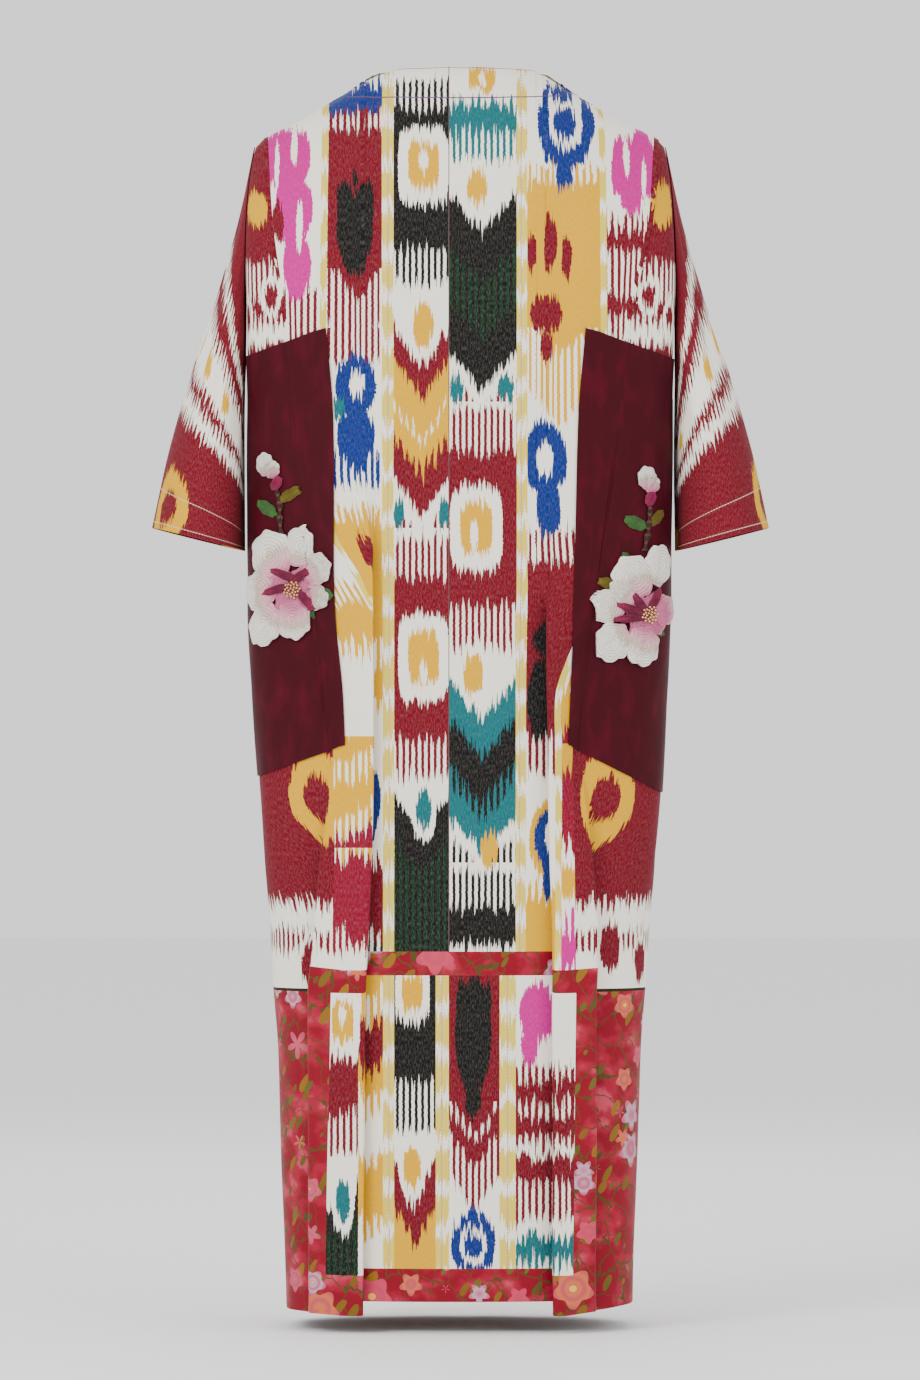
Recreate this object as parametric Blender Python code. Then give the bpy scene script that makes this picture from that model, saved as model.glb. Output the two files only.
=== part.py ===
"""Ikat kaftan in its worn, hollow form, standing as if filled out by a general figure.

The side towards -Y is the one with the high straight neck edge and the two box pleats.
Sizes are in millimetres and become metres as each mesh is made. The origin lies between
the two neck points, on the shoulder ridge; +Z is up and the hem lies far below the origin.

One closed ring of cloth is worked out for each height. The rings make a grid, each cut
panel is a block of its cells, and each panel is a wall of real thickness round its cells.
"""
import math

import bmesh
import bpy
import numpy as np

MM = 0.001
LEFT = -1
RIGHT = 1

# Driving dimensions
CLOTH_WALL = 2.0
SEAM_PULL = 0.4
PATCH_WALL = 1.2
PATCH_CLEAR = 0.7
CENTRE_SEAM_X = -12.0
NECK_HALF_WIDTH = 80.0
NAPE_DEPTH = 44.0
THROAT_DEPTH = 66.0
THROAT_DROP = 62.0
SHOULDER_ROUNDING = 120.0
RIDGE_GUESS = 220.0
RIDGE_GAP = 0.3
OVAL_POWER = 2.5
PLEAT_RADIUS = 4.0
LEAST_LIE = 0.6
LEAST_ANGLE = 1e-4
RIPPLE_DEPTH = 9.0
RIPPLE_START_Z = -420.0
RIPPLE_FULL_Z = -1000.0
CUFF_HALF_DEPTH = 90.0
CUFF_ROUNDNESS = 0.8
SLEEVE_SWAY = 4.5
SLEEVE_CLEAR = 5.0
SLEEVE_START = 1.7
PATCH_PULL = 0.6
CORNER_PULL = 1.35
SMOOTH_ANGLE = 40.0

# Steps of the grid between its named lines
CENTRE_STEPS = 3
TURN_STEPS = 3
CORNER_STEPS = 6
FLAT_STEPS = 2
FAR_CORNER_STEPS = 4
FAR_STEPS = 5

# Shoulder ridge, from the neck outwards
SHOULDER = {
    "x": (0.0, 80.0, 110.0, 158.0, 214.0, 229.0, 240.0),
    "z": (0.0, -1.0, -16.0, -47.0, -75.0, -90.0, -104.0),
}

# Body rings: half widths on each side, depth of each face, half width of the flat side
BODY = {
    "z": (0, -95, -146, -200, -258, -317, -363, -530, -640, -737, -847, -957, -1067, -1177, -1364),
    "left": (200, 228, 233, 234, 233, 232, 231, 231, 230, 220, 214, 206, 199, 196, 189),
    "right": (200, 228, 233, 235, 234, 232, 231, 230, 228, 220, 213, 205, 198, 194, 188),
    "near": (70, 90, 98, 104, 107, 108, 108, 109, 111, 112, 114, 116, 118, 120, 124),
    "far": (80, 98, 110, 118, 123, 125, 125, 124, 124, 126, 129, 132, 135, 138, 142),
    "flat": (20, 34, 46, 50, 47, 36, 26, 25, 25, 25, 26, 27, 28, 28, 30),
}

# Lines down the near face, as distances out from the middle
LINES = {
    LEFT: {
        "seam": ((-78, -146, -188, -227, -258, -291, -737, -858, -990, -1364),
                 (211, 206, 203, 197, 191, 187, 138, 136, 140, 147)),
        "patch": ((-78, -285, -323, -382, -587, -638, -675, -737, -990, -1364),
                  (160, 148, 141, 137, 136, 132, 127, 124, 125, 128)),
        "inner": ((-78, -453, -583, -792, -858, -985, -1364),
                  (100, 98, 95, 94, 96, 103, 106)),
        "outer": ((-78, -146, -291, -737, -790, -841, -922, -990, -1364),
                  (215, 210, 192, 143, 143, 150, 158, 165, 164)),
    },
    RIGHT: {
        "seam": ((-78, -113, -162, -203, -240, -297, -737, -858, -990, -1364),
                 (213, 210, 207, 200, 188, 178, 122, 124, 126, 122)),
        "patch": ((-78, -294, -355, -420, -562, -638, -764, -990, -1364),
                  (150, 137, 130, 127, 124, 121, 116, 115, 114)),
        "inner": ((-78, -554, -605, -781, -968, -1364),
                  (88, 89, 94, 96, 101, 101)),
        "outer": ((-78, -146, -297, -737, -790, -838, -928, -990, -1364),
                  (217, 213, 184, 128, 137, 142, 150, 148, 147)),
    },
}

# Pleats: where each starts and is fully turned, and the cloth that lies back in it
PLEATS = {
    (LEFT, "inner"): {"start": -440.0, "full": -640.0, "return": 20.0, "flat_turn": 8.0},
    (RIGHT, "inner"): {"start": -540.0, "full": -700.0, "return": 12.0, "flat_turn": 8.0},
    (LEFT, "outer"): {"start": -748.0, "full": -930.0, "return": 13.0, "flat_turn": 1.2},
    (RIGHT, "outer"): {"start": -752.0, "full": -900.0, "return": 7.0, "flat_turn": 1.2},
}

# Seam line of the far face
FAR_SEAM = ((-78, -300, -740, -1000, -1364), (208, 184, 152, 150, 150))

# Rows of the grid below the shoulder: heights at the middle, on the pleats and at the side
YOKE_FRACTIONS = (0.0, 0.03, 0.11, 0.24, 0.42, 0.62, 0.82)
ROWS = {
    "name": ("patch_top", "underarm", "bust", "waist", "low_waist", "hip", "low_hip", "seat",
             "patch_bottom", "thigh", "knee", "calf", "tier_hem", "band_hem", "skirt_1",
             "skirt_2", "skirt_3", "skirt_4", "skirt_hem", "hem"),
    "middle": (-300, -363, -410, -455, -510, -560, -615, -680,
               -745, -800, -860, -920, -966, -992, -1060,
               -1130, -1195, -1255, -1310, -1346),
    "pleat": (-288, -363, -410, -455, -510, -560, -615, -680,
              -742, -800, -862, -928, -986, -1011, -1072,
              -1137, -1200, -1260, -1317, -1361),
    "left": (-317, -363, -410, -455, -510, -560, -615, -690,
             -776, -824, -878, -930, -978, -1010, -1070,
             -1135, -1200, -1260, -1316, -1358),
    "right": (-320, -363, -410, -455, -510, -560, -615, -700,
              -794, -838, -886, -934, -980, -1010, -1070,
              -1135, -1200, -1260, -1314, -1352),
}

# Cuffs: outer and inner end of the cuff's middle line, seen from the near side
CUFF = {
    LEFT: {"outer": (338.0, -504.0), "inner": (237.0, -529.0)},
    RIGHT: {"outer": (339.0, -504.0), "inner": (237.0, -529.0)},
}
SLEEVE_FRACTIONS = (0.0, 0.06, 0.2, 0.4, 0.6, 0.8, 1.0)

# Applied flowers lie on the patches. Each blossom's petals are round lobes about its centre:
# across is towards +X along the cloth, up is along +Z
BLOSSOM_CLEAR = 1.35
SPRIG_CLEAR = 0.45
APPLIED_BASE = 1.4
BLOSSOM_CORE = 38.0
BLOSSOM_HOLLOW = 0.6
BLOSSOM_SPOKES = 44
BLOSSOM_RINGS = 8
SPRIG_SPOKES = 14
SPRIG_RINGS = 2
RIM_PART = 0.6
BLOSSOMS = {
    LEFT: {"out": 179.0, "z": -573.0},
    RIGHT: {"out": 202.0, "z": -600.0},
}
PETALS = {
    LEFT: {"across": (-27, 8, 29, -45, -37, -1, 31), "up": (40, 51, 23, -2, -38, -34, -8),
           "size": (22, 18, 17, 19, 20, 18, 13), "high": (3.6, 3.0, 2.6, 3.2, 3.4, 3.0, 2.2)},
    RIGHT: {"across": (-18, 15, -52, -44, -7, 22, -32), "up": (42, 58, 10, -32, -37, 4, 26),
            "size": (20, 18, 17, 19, 17, 16, 13), "high": (3.6, 3.0, 2.4, 3.2, 3.4, 2.8, 2.4)},
}
# Small applied pieces: place, half length, half width, turn and height
SPRIGS = {
    "bud": {LEFT: (211, -438, 15, 14, 20, 4.0), RIGHT: (203, -453, 14, 12, 10, 4.0)},
    "calyx": {LEFT: (200, -457, 6, 4, 40, 2.0), RIGHT: (206, -473, 7, 4, 20, 2.0)},
    "leaf_inner": {LEFT: (184, -470, 15, 6, 60, 2.0), RIGHT: (188, -500, 14, 7, 70, 2.0)},
    "leaf_outer": {LEFT: (213, -484, 15, 7, -60, 2.0), RIGHT: (214, -494, 11, 5, -50, 2.0)},
    "twig": {LEFT: (195, -494, 14, 2.5, 6, 2.0), RIGHT: (202, -510, 12, 2.5, -4, 2.0)},
}


def columns_to(table, z):
    """Value of a two row table at height z."""
    heights, values = table
    return float(np.interp(z, heights[::-1], values[::-1]))


def body_at(name, z):
    return columns_to((BODY["z"], BODY[name]), z)


def line_at(side, name, z):
    return columns_to(LINES[side][name], z)


def ease(value):
    """Smooth step from 0 to 1."""
    held = min(1.0, max(0.0, value))
    return held * held * (3.0 - 2.0 * held)


def ridge_height(across):
    return float(np.interp(abs(across), SHOULDER["x"], SHOULDER["z"]))


def pleat_plan(side, name, z):
    """Plan of one pleat: the cloth turns by an angle, lies back, and turns forward again.

    Each turn is an arc of constant curvature. Gives distances outwards and forwards.
    """
    pleat = PLEATS[side, name]
    made = ease((pleat["start"] - z) / (pleat["start"] - pleat["full"]))
    angle = math.pi * min(1.0, made / 0.5)
    back = pleat["return"] * max(0.0, made - 0.5) / 0.5
    full_turn = math.pi * PLEAT_RADIUS
    turn = pleat["flat_turn"] + (full_turn - pleat["flat_turn"]) * min(1.0, made / 0.5)
    angles = np.linspace(0.0, angle, TURN_STEPS + 1)
    if angle < LEAST_ANGLE:
        out = turn * np.linspace(0.0, 1.0, TURN_STEPS + 1)
        forward = np.zeros(TURN_STEPS + 1)
    else:
        out = turn / angle * np.sin(angles)
        forward = turn / angle * (1.0 - np.cos(angles))
    lie = max(back, LEAST_LIE)
    steps_out = np.concatenate([np.diff(out), [lie * math.cos(angle)], np.diff(out)[::-1]])
    steps_on = np.concatenate([np.diff(forward), [lie * math.sin(angle)], np.diff(forward)[::-1]])
    return (np.concatenate([[0.0], np.cumsum(steps_out)]),
            np.concatenate([[0.0], np.cumsum(steps_on)]))


def near_plan(side, z):
    """Near face of one ring from the centre seam to the side.

    Gives the distance out from the middle and the distance forward of the plain oval.
    """
    middle = TURN_STEPS + 1
    inner_out, inner_on = pleat_plan(side, "inner", z)
    inner_out = inner_out - inner_out[middle:].min() + line_at(side, "inner", z)
    outer_out, outer_on = pleat_plan(side, "outer", z)
    outer_out = outer_out - outer_out[:middle].max() + line_at(side, "outer", z)
    crest = inner_on[-1]
    edge = outer_on[-1]
    centre = np.linspace(CENTRE_SEAM_X * side, inner_out[0], CENTRE_STEPS + 1)[:-1]
    front = np.array([line_at(side, "patch", z), line_at(side, "seam", z)])
    front_on = np.interp(front, [inner_out[-1], outer_out[0]], [crest, edge])
    half_width = body_at("left" if side == LEFT else "right", z)
    start = math.asin(min(1.0, outer_out[-1] / half_width) ** (OVAL_POWER / 2))
    corner = np.linspace(start, math.pi / 2, CORNER_STEPS + 1)[1:]
    corner_out = half_width * np.sin(corner) ** (2 / OVAL_POWER)
    out = np.concatenate([centre, inner_out, front, outer_out, corner_out])
    forward = np.concatenate([np.zeros(len(centre)), inner_on, front_on, edge - outer_on,
                              np.zeros(len(corner_out))])
    return out, forward


def oval(out, half_width, depth, flat):
    """Depth of a plain oval with flat sides at a distance out from the middle."""
    part = np.clip(np.abs(out) / half_width, 0.0, 1.0)
    return flat + (depth - flat) * (1.0 - part ** OVAL_POWER) ** (1 / OVAL_POWER)


COLUMN_NAMES = {"centre": 0}
COLUMN_NAMES["inner_start"] = CENTRE_STEPS
COLUMN_NAMES["inner_end"] = CENTRE_STEPS + 2 * TURN_STEPS + 1
COLUMN_NAMES["patch"] = COLUMN_NAMES["inner_end"] + 1
COLUMN_NAMES["seam"] = COLUMN_NAMES["patch"] + 1
COLUMN_NAMES["outer_start"] = COLUMN_NAMES["seam"] + 1
COLUMN_NAMES["outer_edge"] = COLUMN_NAMES["outer_start"] + TURN_STEPS - 1
COLUMN_NAMES["near_arm"] = COLUMN_NAMES["outer_start"] + 2 * TURN_STEPS + 1 + CORNER_STEPS
COLUMN_NAMES["far_arm"] = COLUMN_NAMES["near_arm"] + FLAT_STEPS
COLUMN_NAMES["far_seam"] = COLUMN_NAMES["far_arm"] + FAR_CORNER_STEPS
COLUMN_NAMES["far_centre"] = COLUMN_NAMES["far_seam"] + FAR_STEPS
HALF_COUNT = COLUMN_NAMES["far_centre"] + 1
RING_COUNT = 2 * HALF_COUNT - 2

YOKE_COUNT = len(YOKE_FRACTIONS)
ROW_NAMES = {name: YOKE_COUNT + place for place, name in enumerate(ROWS["name"])}
ROW_COUNT = YOKE_COUNT + len(ROWS["name"])
UNDERARM = ROW_NAMES["underarm"]


def named_height(place, side, column, out, half_width, patch_out):
    """Height of a named row at one column: middle, then pleat, then side."""
    middle = ROWS["middle"][place]
    pleat = ROWS["pleat"][place]
    at_side = ROWS["left" if side == LEFT else "right"][place]
    if column <= COLUMN_NAMES["inner_end"]:
        span = COLUMN_NAMES["inner_end"] - COLUMN_NAMES["inner_start"]
        return middle + (pleat - middle) * ease((column - COLUMN_NAMES["inner_start"]) / span)
    if column <= COLUMN_NAMES["near_arm"]:
        part = min(1.0, max(0.0, (out - patch_out) / (half_width - patch_out)))
        return pleat + (at_side - pleat) * part
    if column <= COLUMN_NAMES["far_arm"]:
        return at_side
    part = min(1.0, max(0.0, out / half_width))
    return pleat + (at_side - pleat) * part


def half_ring(side, z_guess):
    """One side of a ring at one height, from the near centre to the far centre."""
    half_width = body_at("left" if side == LEFT else "right", z_guess)
    flat = body_at("flat", z_guess)
    near_out, forward = near_plan(side, z_guess)
    near_y = -oval(near_out, half_width, body_at("near", z_guess), flat)
    flat_y = np.linspace(-flat, flat, FLAT_STEPS + 1)[1:-1]
    seam_part = columns_to(FAR_SEAM, z_guess) / half_width
    start = math.asin(min(1.0, seam_part) ** (OVAL_POWER / 2))
    corner = np.linspace(math.pi / 2, start, FAR_CORNER_STEPS + 1)
    corner_out = half_width * np.sin(corner) ** (2 / OVAL_POWER)
    far_out = np.concatenate([corner_out, np.linspace(corner_out[-1], 0.0, FAR_STEPS + 1)[1:]])
    far_y = oval(far_out, half_width, body_at("far", z_guess), flat)
    hang = ease((RIPPLE_START_Z - z_guess) / (RIPPLE_START_Z - RIPPLE_FULL_Z))
    wave = np.sin(np.pi * np.clip(far_out / corner_out[-1], 0.0, 1.0) * 2.0) ** 2
    far_y = far_y + RIPPLE_DEPTH * hang * wave
    out = np.concatenate([near_out, np.full(len(flat_y), half_width), far_out])
    y = np.concatenate([near_y, flat_y, far_y])
    push = np.concatenate([forward, np.zeros(len(flat_y) + len(far_out))])
    return out, y, push


def shoulder_rise(below):
    """Part of its full depth that the cloth has at a distance below the ridge."""
    part = np.clip(below / SHOULDER_ROUNDING, 0.0, 1.0)
    return np.sqrt(1.0 - (1.0 - part) ** 2)


def yoke_row(side, fraction):
    """Row between the shoulder ridge and the top of the patches."""
    columns = np.arange(HALF_COUNT)
    far = columns >= COLUMN_NAMES["far_arm"]
    points = np.zeros((HALF_COUNT, 3))
    guess_z = ridge_height(RIDGE_GUESS) * (1 - fraction) + ROWS["middle"][0] * fraction
    out, y, _ = half_ring(side, guess_z)
    half_width = body_at("left" if side == LEFT else "right", guess_z)
    patch_out = line_at(side, "patch", guess_z)
    neck_part = np.clip(np.abs(out) / NECK_HALF_WIDTH, 0.0, 1.0)
    ridge = np.array([ridge_height(value) for value in out])
    ridge = ridge - far * THROAT_DROP * (1.0 - neck_part ** 2)
    low = np.array([named_height(0, side, column, out[column], half_width, patch_out)
                    for column in columns])
    z = ridge * (1 - fraction) + low * fraction
    rise = shoulder_rise(ridge - z)
    neck = np.where(far, THROAT_DEPTH, NAPE_DEPTH)
    edge = neck * np.sqrt(1.0 - neck_part ** 2) + RIDGE_GAP
    depth = edge + (np.abs(y) - edge) * rise
    points[:, 0] = side * out
    points[:, 1] = np.where(far, depth, -depth)
    points[:, 2] = z
    return points


def named_row(side, place):
    """Row at and below the top of the patches."""
    guess_z = ROWS["middle"][place]
    out, y, push = half_ring(side, guess_z)
    half_width = body_at("left" if side == LEFT else "right", guess_z)
    patch_out = line_at(side, "patch", guess_z)
    z = np.array([named_height(place, side, column, out[column], half_width, patch_out)
                  for column in range(HALF_COUNT)])
    columns = np.arange(HALF_COUNT)
    rise = shoulder_rise(np.array([ridge_height(value) for value in out]) - z)
    on_flat = (columns > COLUMN_NAMES["near_arm"]) & (columns < COLUMN_NAMES["far_arm"])
    rise = np.where(on_flat, 1.0, rise)
    return np.stack([side * out, y * rise - push, z], axis=1)


def ring_place(side, column):
    """Place of one side's column on the whole ring."""
    return column if side == LEFT else (RING_COUNT - column) % RING_COUNT


def body_grid():
    """All rings, from the ridge to the hem, as one array of points."""
    grid = np.zeros((ROW_COUNT, RING_COUNT, 3))
    for side in (RIGHT, LEFT):
        rows = [yoke_row(side, fraction) for fraction in YOKE_FRACTIONS]
        rows += [named_row(side, place) for place in range(len(ROWS["name"]))]
        for column in range(HALF_COUNT):
            grid[:, ring_place(side, column)] = np.array([row[column] for row in rows])
    return grid


def cell(side, row, column):
    """Cell between a column and the next one out, as its row and its place on the ring."""
    if side == LEFT:
        return row, column
    return row, RING_COUNT - 1 - column


def block(side, top, bottom, first, last):
    """Cells between two named columns and two row numbers on one side."""
    columns = range(COLUMN_NAMES[first], COLUMN_NAMES[last])
    return {cell(side, row, column) for row in range(top, bottom) for column in columns}


def cell_corners(one, wrap):
    row, place = one
    following = (place + 1) % wrap if wrap else place + 1
    return (row, place), (row, following), (row + 1, following), (row + 1, place)


def grid_normals(grid, cells, wrap):
    """Outward direction at each point, from the cells that meet there."""
    normals = np.zeros_like(grid)
    for one in cells:
        corners = cell_corners(one, wrap)
        a, b, c, d = (grid[corner] for corner in corners)
        facing = np.cross(c - a, d - b)
        for corner in corners:
            normals[corner] += facing
    length = np.linalg.norm(normals, axis=2, keepdims=True)
    return normals / np.where(length > 1e-9, length, 1.0)


def solid_from_cells(grid, normals, cells, wrap, low, high, pull=SEAM_PULL):
    """Wall over a set of cells, from a low to a high distance along the normals.

    Points on the edge of the set are pulled towards the cells, which parts the panels.
    """
    inward = {}
    count = {}
    for one in cells:
        corners = cell_corners(one, wrap)
        centre = sum(grid[corner] for corner in corners) / 4
        for corner in corners:
            inward[corner] = inward.get(corner, np.zeros(3)) + centre - grid[corner]
            count[corner] = count.get(corner, 0) + 1
    keys = sorted(inward)
    index = {key: place for place, key in enumerate(keys)}
    base = []
    for key in keys:
        point = grid[key].copy()
        if count[key] != 4:
            step = inward[key]
            reach = pull * (CORNER_PULL if count[key] == 1 else 1.0)
            point = point + step / np.linalg.norm(step) * reach
        base.append(point)
    base = np.array(base)
    along = np.array([normals[key] for key in keys])
    points = np.concatenate([base + along * high, base + along * low])
    total = len(keys)
    faces = []
    edges = set()
    for one in sorted(cells):
        a, b, c, d = (index[corner] for corner in cell_corners(one, wrap))
        faces += [(a, b, c), (a, c, d)]
        faces += [(c + total, b + total, a + total), (d + total, c + total, a + total)]
        edges.update([(a, b), (b, c), (c, d), (d, a)])
    for first, second in sorted(edges):
        if (second, first) not in edges:
            faces += [(second, first, first + total), (second, first + total, second + total)]
    return points, faces


def add_object(name, points, faces, finish):
    """One closed body as a named object with its own material."""
    colour, roughness = finish
    mesh = bpy.data.meshes.new(name)
    mesh.from_pydata([tuple(point * MM) for point in points], [], faces)
    work = bmesh.new()
    work.from_mesh(mesh)
    bmesh.ops.remove_doubles(work, verts=work.verts, dist=1e-6)
    bmesh.ops.recalc_face_normals(work, faces=work.faces)
    work.to_mesh(mesh)
    work.free()
    mesh.shade_smooth()
    mesh.set_sharp_from_angle(angle=math.radians(SMOOTH_ANGLE))
    material = bpy.data.materials.new(name)
    material.use_nodes = True
    shader = material.node_tree.nodes["Principled BSDF"]
    shader.inputs["Base Color"].default_value = (*colour, 1.0)
    shader.inputs["Roughness"].default_value = roughness
    shader.inputs["Metallic"].default_value = 0.0
    mesh.materials.append(material)
    made = bpy.data.objects.new(name, mesh)
    bpy.context.scene.collection.objects.link(made)


# Finishes: colour and roughness
IKAT = ((0.78, 0.62, 0.36), 0.6)
MAROON = ((0.36, 0.02, 0.04), 0.6)
CHIFFON = ((0.55, 0.03, 0.06), 0.5)
BURGUNDY = ((0.12, 0.005, 0.015), 0.45)
PETAL_WHITE = ((0.85, 0.76, 0.72), 0.7)
BLUSH = ((0.75, 0.28, 0.38), 0.7)
LEAF = ((0.16, 0.22, 0.03), 0.7)
TWIG = ((0.13, 0.06, 0.03), 0.7)
SIDE_NAME = {LEFT: "left", RIGHT: "right"}


def body_cells():
    """Every cell of cloth: all but the armholes."""
    cells = set()
    for side in (LEFT, RIGHT):
        cells |= block(side, 0, ROW_COUNT - 1, "centre", "near_arm")
        cells |= block(side, UNDERARM, ROW_COUNT - 1, "near_arm", "far_arm")
        cells |= block(side, 0, ROW_COUNT - 1, "far_arm", "far_centre")
    return cells


def both(top, bottom, first, last):
    return block(LEFT, top, bottom, first, last) | block(RIGHT, top, bottom, first, last)


def panel_cells():
    """Cells and finish of each cut panel of the body."""
    tier = ROW_NAMES["tier_hem"]
    band = ROW_NAMES["band_hem"]
    skirt = ROW_NAMES["skirt_hem"]
    hem = ROW_NAMES["hem"]
    panels = {
        "back_band": (both(tier, band, "centre", "outer_edge"), CHIFFON),
        "back_skirt": (both(band, skirt, "centre", "seam"), IKAT),
        "back_hem_band": (both(skirt, hem, "centre", "seam"), CHIFFON),
        "front_panel": (both(0, tier, "far_seam", "far_centre"), IKAT),
        "front_band": (both(tier, band, "far_seam", "far_centre"), CHIFFON),
        "front_skirt": (both(band, skirt, "far_seam", "far_centre"), IKAT),
        "front_hem_band": (both(skirt, hem, "far_seam", "far_centre"), CHIFFON),
    }
    for side in (LEFT, RIGHT):
        word = SIDE_NAME[side]
        panels["back_panel_" + word] = (block(side, 0, tier, "centre", "seam"), IKAT)
        upper = block(side, 0, tier, "seam", "near_arm")
        upper |= block(side, tier, band, "outer_edge", "near_arm")
        upper |= block(side, UNDERARM, band, "near_arm", "far_arm")
        upper |= block(side, 0, band, "far_arm", "far_seam")
        panels["side_panel_" + word] = (upper, MAROON)
        lower = block(side, band, hem, "seam", "far_seam")
        panels["side_chiffon_" + word] = (lower, CHIFFON)
    return panels


def make_panels(grid, normals):
    half = CLOTH_WALL / 2
    for name, (cells, finish) in panel_cells().items():
        points, faces = solid_from_cells(grid, normals, cells, RING_COUNT, -half, half)
        add_object(name, points, faces, finish)


def make_patches(grid, normals):
    """Sheer patches laid over the side panels and the edge of the near panel."""
    top = ROW_NAMES["patch_top"]
    bottom = ROW_NAMES["patch_bottom"]
    low = CLOTH_WALL / 2 + PATCH_CLEAR
    for side in (LEFT, RIGHT):
        cells = block(side, top, bottom, "patch", "near_arm")
        cells |= block(side, UNDERARM, bottom, "near_arm", "far_arm")
        cells |= block(side, top, bottom, "far_arm", "far_seam")
        points, faces = solid_from_cells(grid, normals, cells, RING_COUNT, low, low + PATCH_WALL,
                                         pull=PATCH_PULL)
        add_object("patch_" + SIDE_NAME[side], points, faces, BURGUNDY)


def armhole_ring(grid, side):
    """Places of the armhole's points: down the near edge, under the arm, up the far edge."""
    near = ring_place(side, COLUMN_NAMES["near_arm"])
    far = ring_place(side, COLUMN_NAMES["far_arm"])
    keys = [(row, near) for row in range(UNDERARM + 1)]
    keys += [(UNDERARM, ring_place(side, COLUMN_NAMES["near_arm"] + step))
             for step in range(1, FLAT_STEPS)]
    keys += [(row, far) for row in range(UNDERARM, 0, -1)]
    return keys


def sleeve_grid(grid, side):
    """Sleeve tube, as a straight loft from the armhole to the cuff's oval."""
    keys = armhole_ring(grid, side)
    hole = np.array([grid[key] for key in keys])
    hole[0, 1] = 0.0
    closed = np.concatenate([hole, hole[:1]])
    run = np.concatenate([[0.0], np.cumsum(np.linalg.norm(np.diff(closed, axis=0), axis=1))])
    angle = 2 * math.pi * run[:-1] / run[-1]
    low = (hole[0, 2] - hole[:, 2]) / (hole[0, 2] - hole[:, 2].min())
    hole[:, 0] += side * (SLEEVE_START + SLEEVE_CLEAR * low ** 3)
    outer = np.array([side * CUFF[side]["outer"][0], 0.0, CUFF[side]["outer"][1]])
    inner = np.array([side * CUFF[side]["inner"][0], 0.0, CUFF[side]["inner"][1]])
    centre = (outer + inner) / 2
    swing = np.cos(angle)[:, None] * (outer - centre)
    depth = np.sign(np.sin(angle)) * np.abs(np.sin(angle)) ** CUFF_ROUNDNESS * CUFF_HALF_DEPTH
    cuff = centre + swing - depth[:, None] * np.array([0.0, 1.0, 0.0])
    rings = []
    for fraction in SLEEVE_FRACTIONS:
        ring = hole * (1 - fraction) + cuff * fraction
        sway = SLEEVE_SWAY * math.sin(2 * math.pi * fraction) * np.maximum(0.0, np.cos(angle))
        ring[:, 0] -= side * sway
        rings.append(ring)
    return np.array(rings)


def make_sleeves(grid):
    half = CLOTH_WALL / 2
    for side in (LEFT, RIGHT):
        tube = sleeve_grid(grid, side)
        if side == RIGHT:
            tube = tube[:, ::-1]
        count = tube.shape[1]
        cells = {(row, place) for row in range(len(tube) - 1) for place in range(count)}
        facing = grid_normals(tube, cells, count)
        points, faces = solid_from_cells(tube, facing, cells, count, -half, half, pull=0.0)
        add_object("sleeve_" + SIDE_NAME[side], points, faces, MAROON)


def cloth_line(grid, normals, side, z):
    """Points and directions of the cloth at one height, from the patch's edge outwards."""
    points = []
    facing = []
    for column in range(COLUMN_NAMES["patch"], COLUMN_NAMES["far_seam"] + 1):
        place = ring_place(side, column)
        heights = grid[UNDERARM:, place, 2]
        row = UNDERARM + int(np.searchsorted(-heights, -z)) - 1
        upper = grid[row, place]
        lower = grid[row + 1, place]
        part = (upper[2] - z) / (upper[2] - lower[2])
        points.append(upper * (1 - part) + lower * part)
        facing.append(normals[row, place] * (1 - part) + normals[row + 1, place] * part)
    return np.array(points), np.array(facing)


def place_on_cloth(grid, normals, side, out, z, across, up, height):
    """Point at a height over the cloth, measured along it from a named place."""
    points, facing = cloth_line(grid, normals, side, z + up)
    run = np.concatenate([[0.0], np.cumsum(np.linalg.norm(np.diff(points, axis=0), axis=1))])
    near = COLUMN_NAMES["near_arm"] - COLUMN_NAMES["patch"] + 1
    start = np.interp(out, np.abs(points[:near, 0]), run[:near])
    along = start + side * across
    spot = np.array([np.interp(along, run, points[:, axis]) for axis in range(3)])
    lean = np.array([np.interp(along, run, facing[:, axis]) for axis in range(3)])
    return spot + lean / np.linalg.norm(lean) * height


def applied_solid(grid, normals, side, spot, clear, outline, relief, spokes, rings):
    """Round raised piece: rings of points inside an outline, over a flat underside."""
    out, z = spot
    under = CLOTH_WALL / 2 + PATCH_CLEAR + PATCH_WALL + clear
    tops = [place_on_cloth(grid, normals, side, out, z, 0, 0, under + relief(0.0, 0.0))]
    bases = [place_on_cloth(grid, normals, side, out, z, 0, 0, under)]
    for ring in range(1, rings + 1):
        for spoke in range(spokes):
            angle = 2 * math.pi * spoke / spokes
            reach = outline(angle) * ring / rings
            across = reach * math.cos(angle)
            up = reach * math.sin(angle)
            high = relief(across, up) if ring < rings else APPLIED_BASE * RIM_PART
            tops.append(place_on_cloth(grid, normals, side, out, z, across, up, under + high))
            bases.append(place_on_cloth(grid, normals, side, out, z, across, up, under))
    total = len(tops)
    faces = []
    for spoke in range(spokes):
        following = (spoke + 1) % spokes
        first, second = 1 + spoke, 1 + following
        faces += [(0, first, second), (total, total + second, total + first)]
        for ring in range(rings - 1):
            a, b = 1 + ring * spokes + spoke, 1 + ring * spokes + following
            c, d = b + spokes, a + spokes
            faces += [(a, d, c), (a, c, b)]
            faces += [(total + a, total + c, total + d), (total + a, total + b, total + c)]
        a = 1 + (rings - 1) * spokes + spoke
        b = 1 + (rings - 1) * spokes + following
        faces += [(a, total + a, total + b), (a, total + b, b)]
    return np.array(tops + bases), faces


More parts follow.
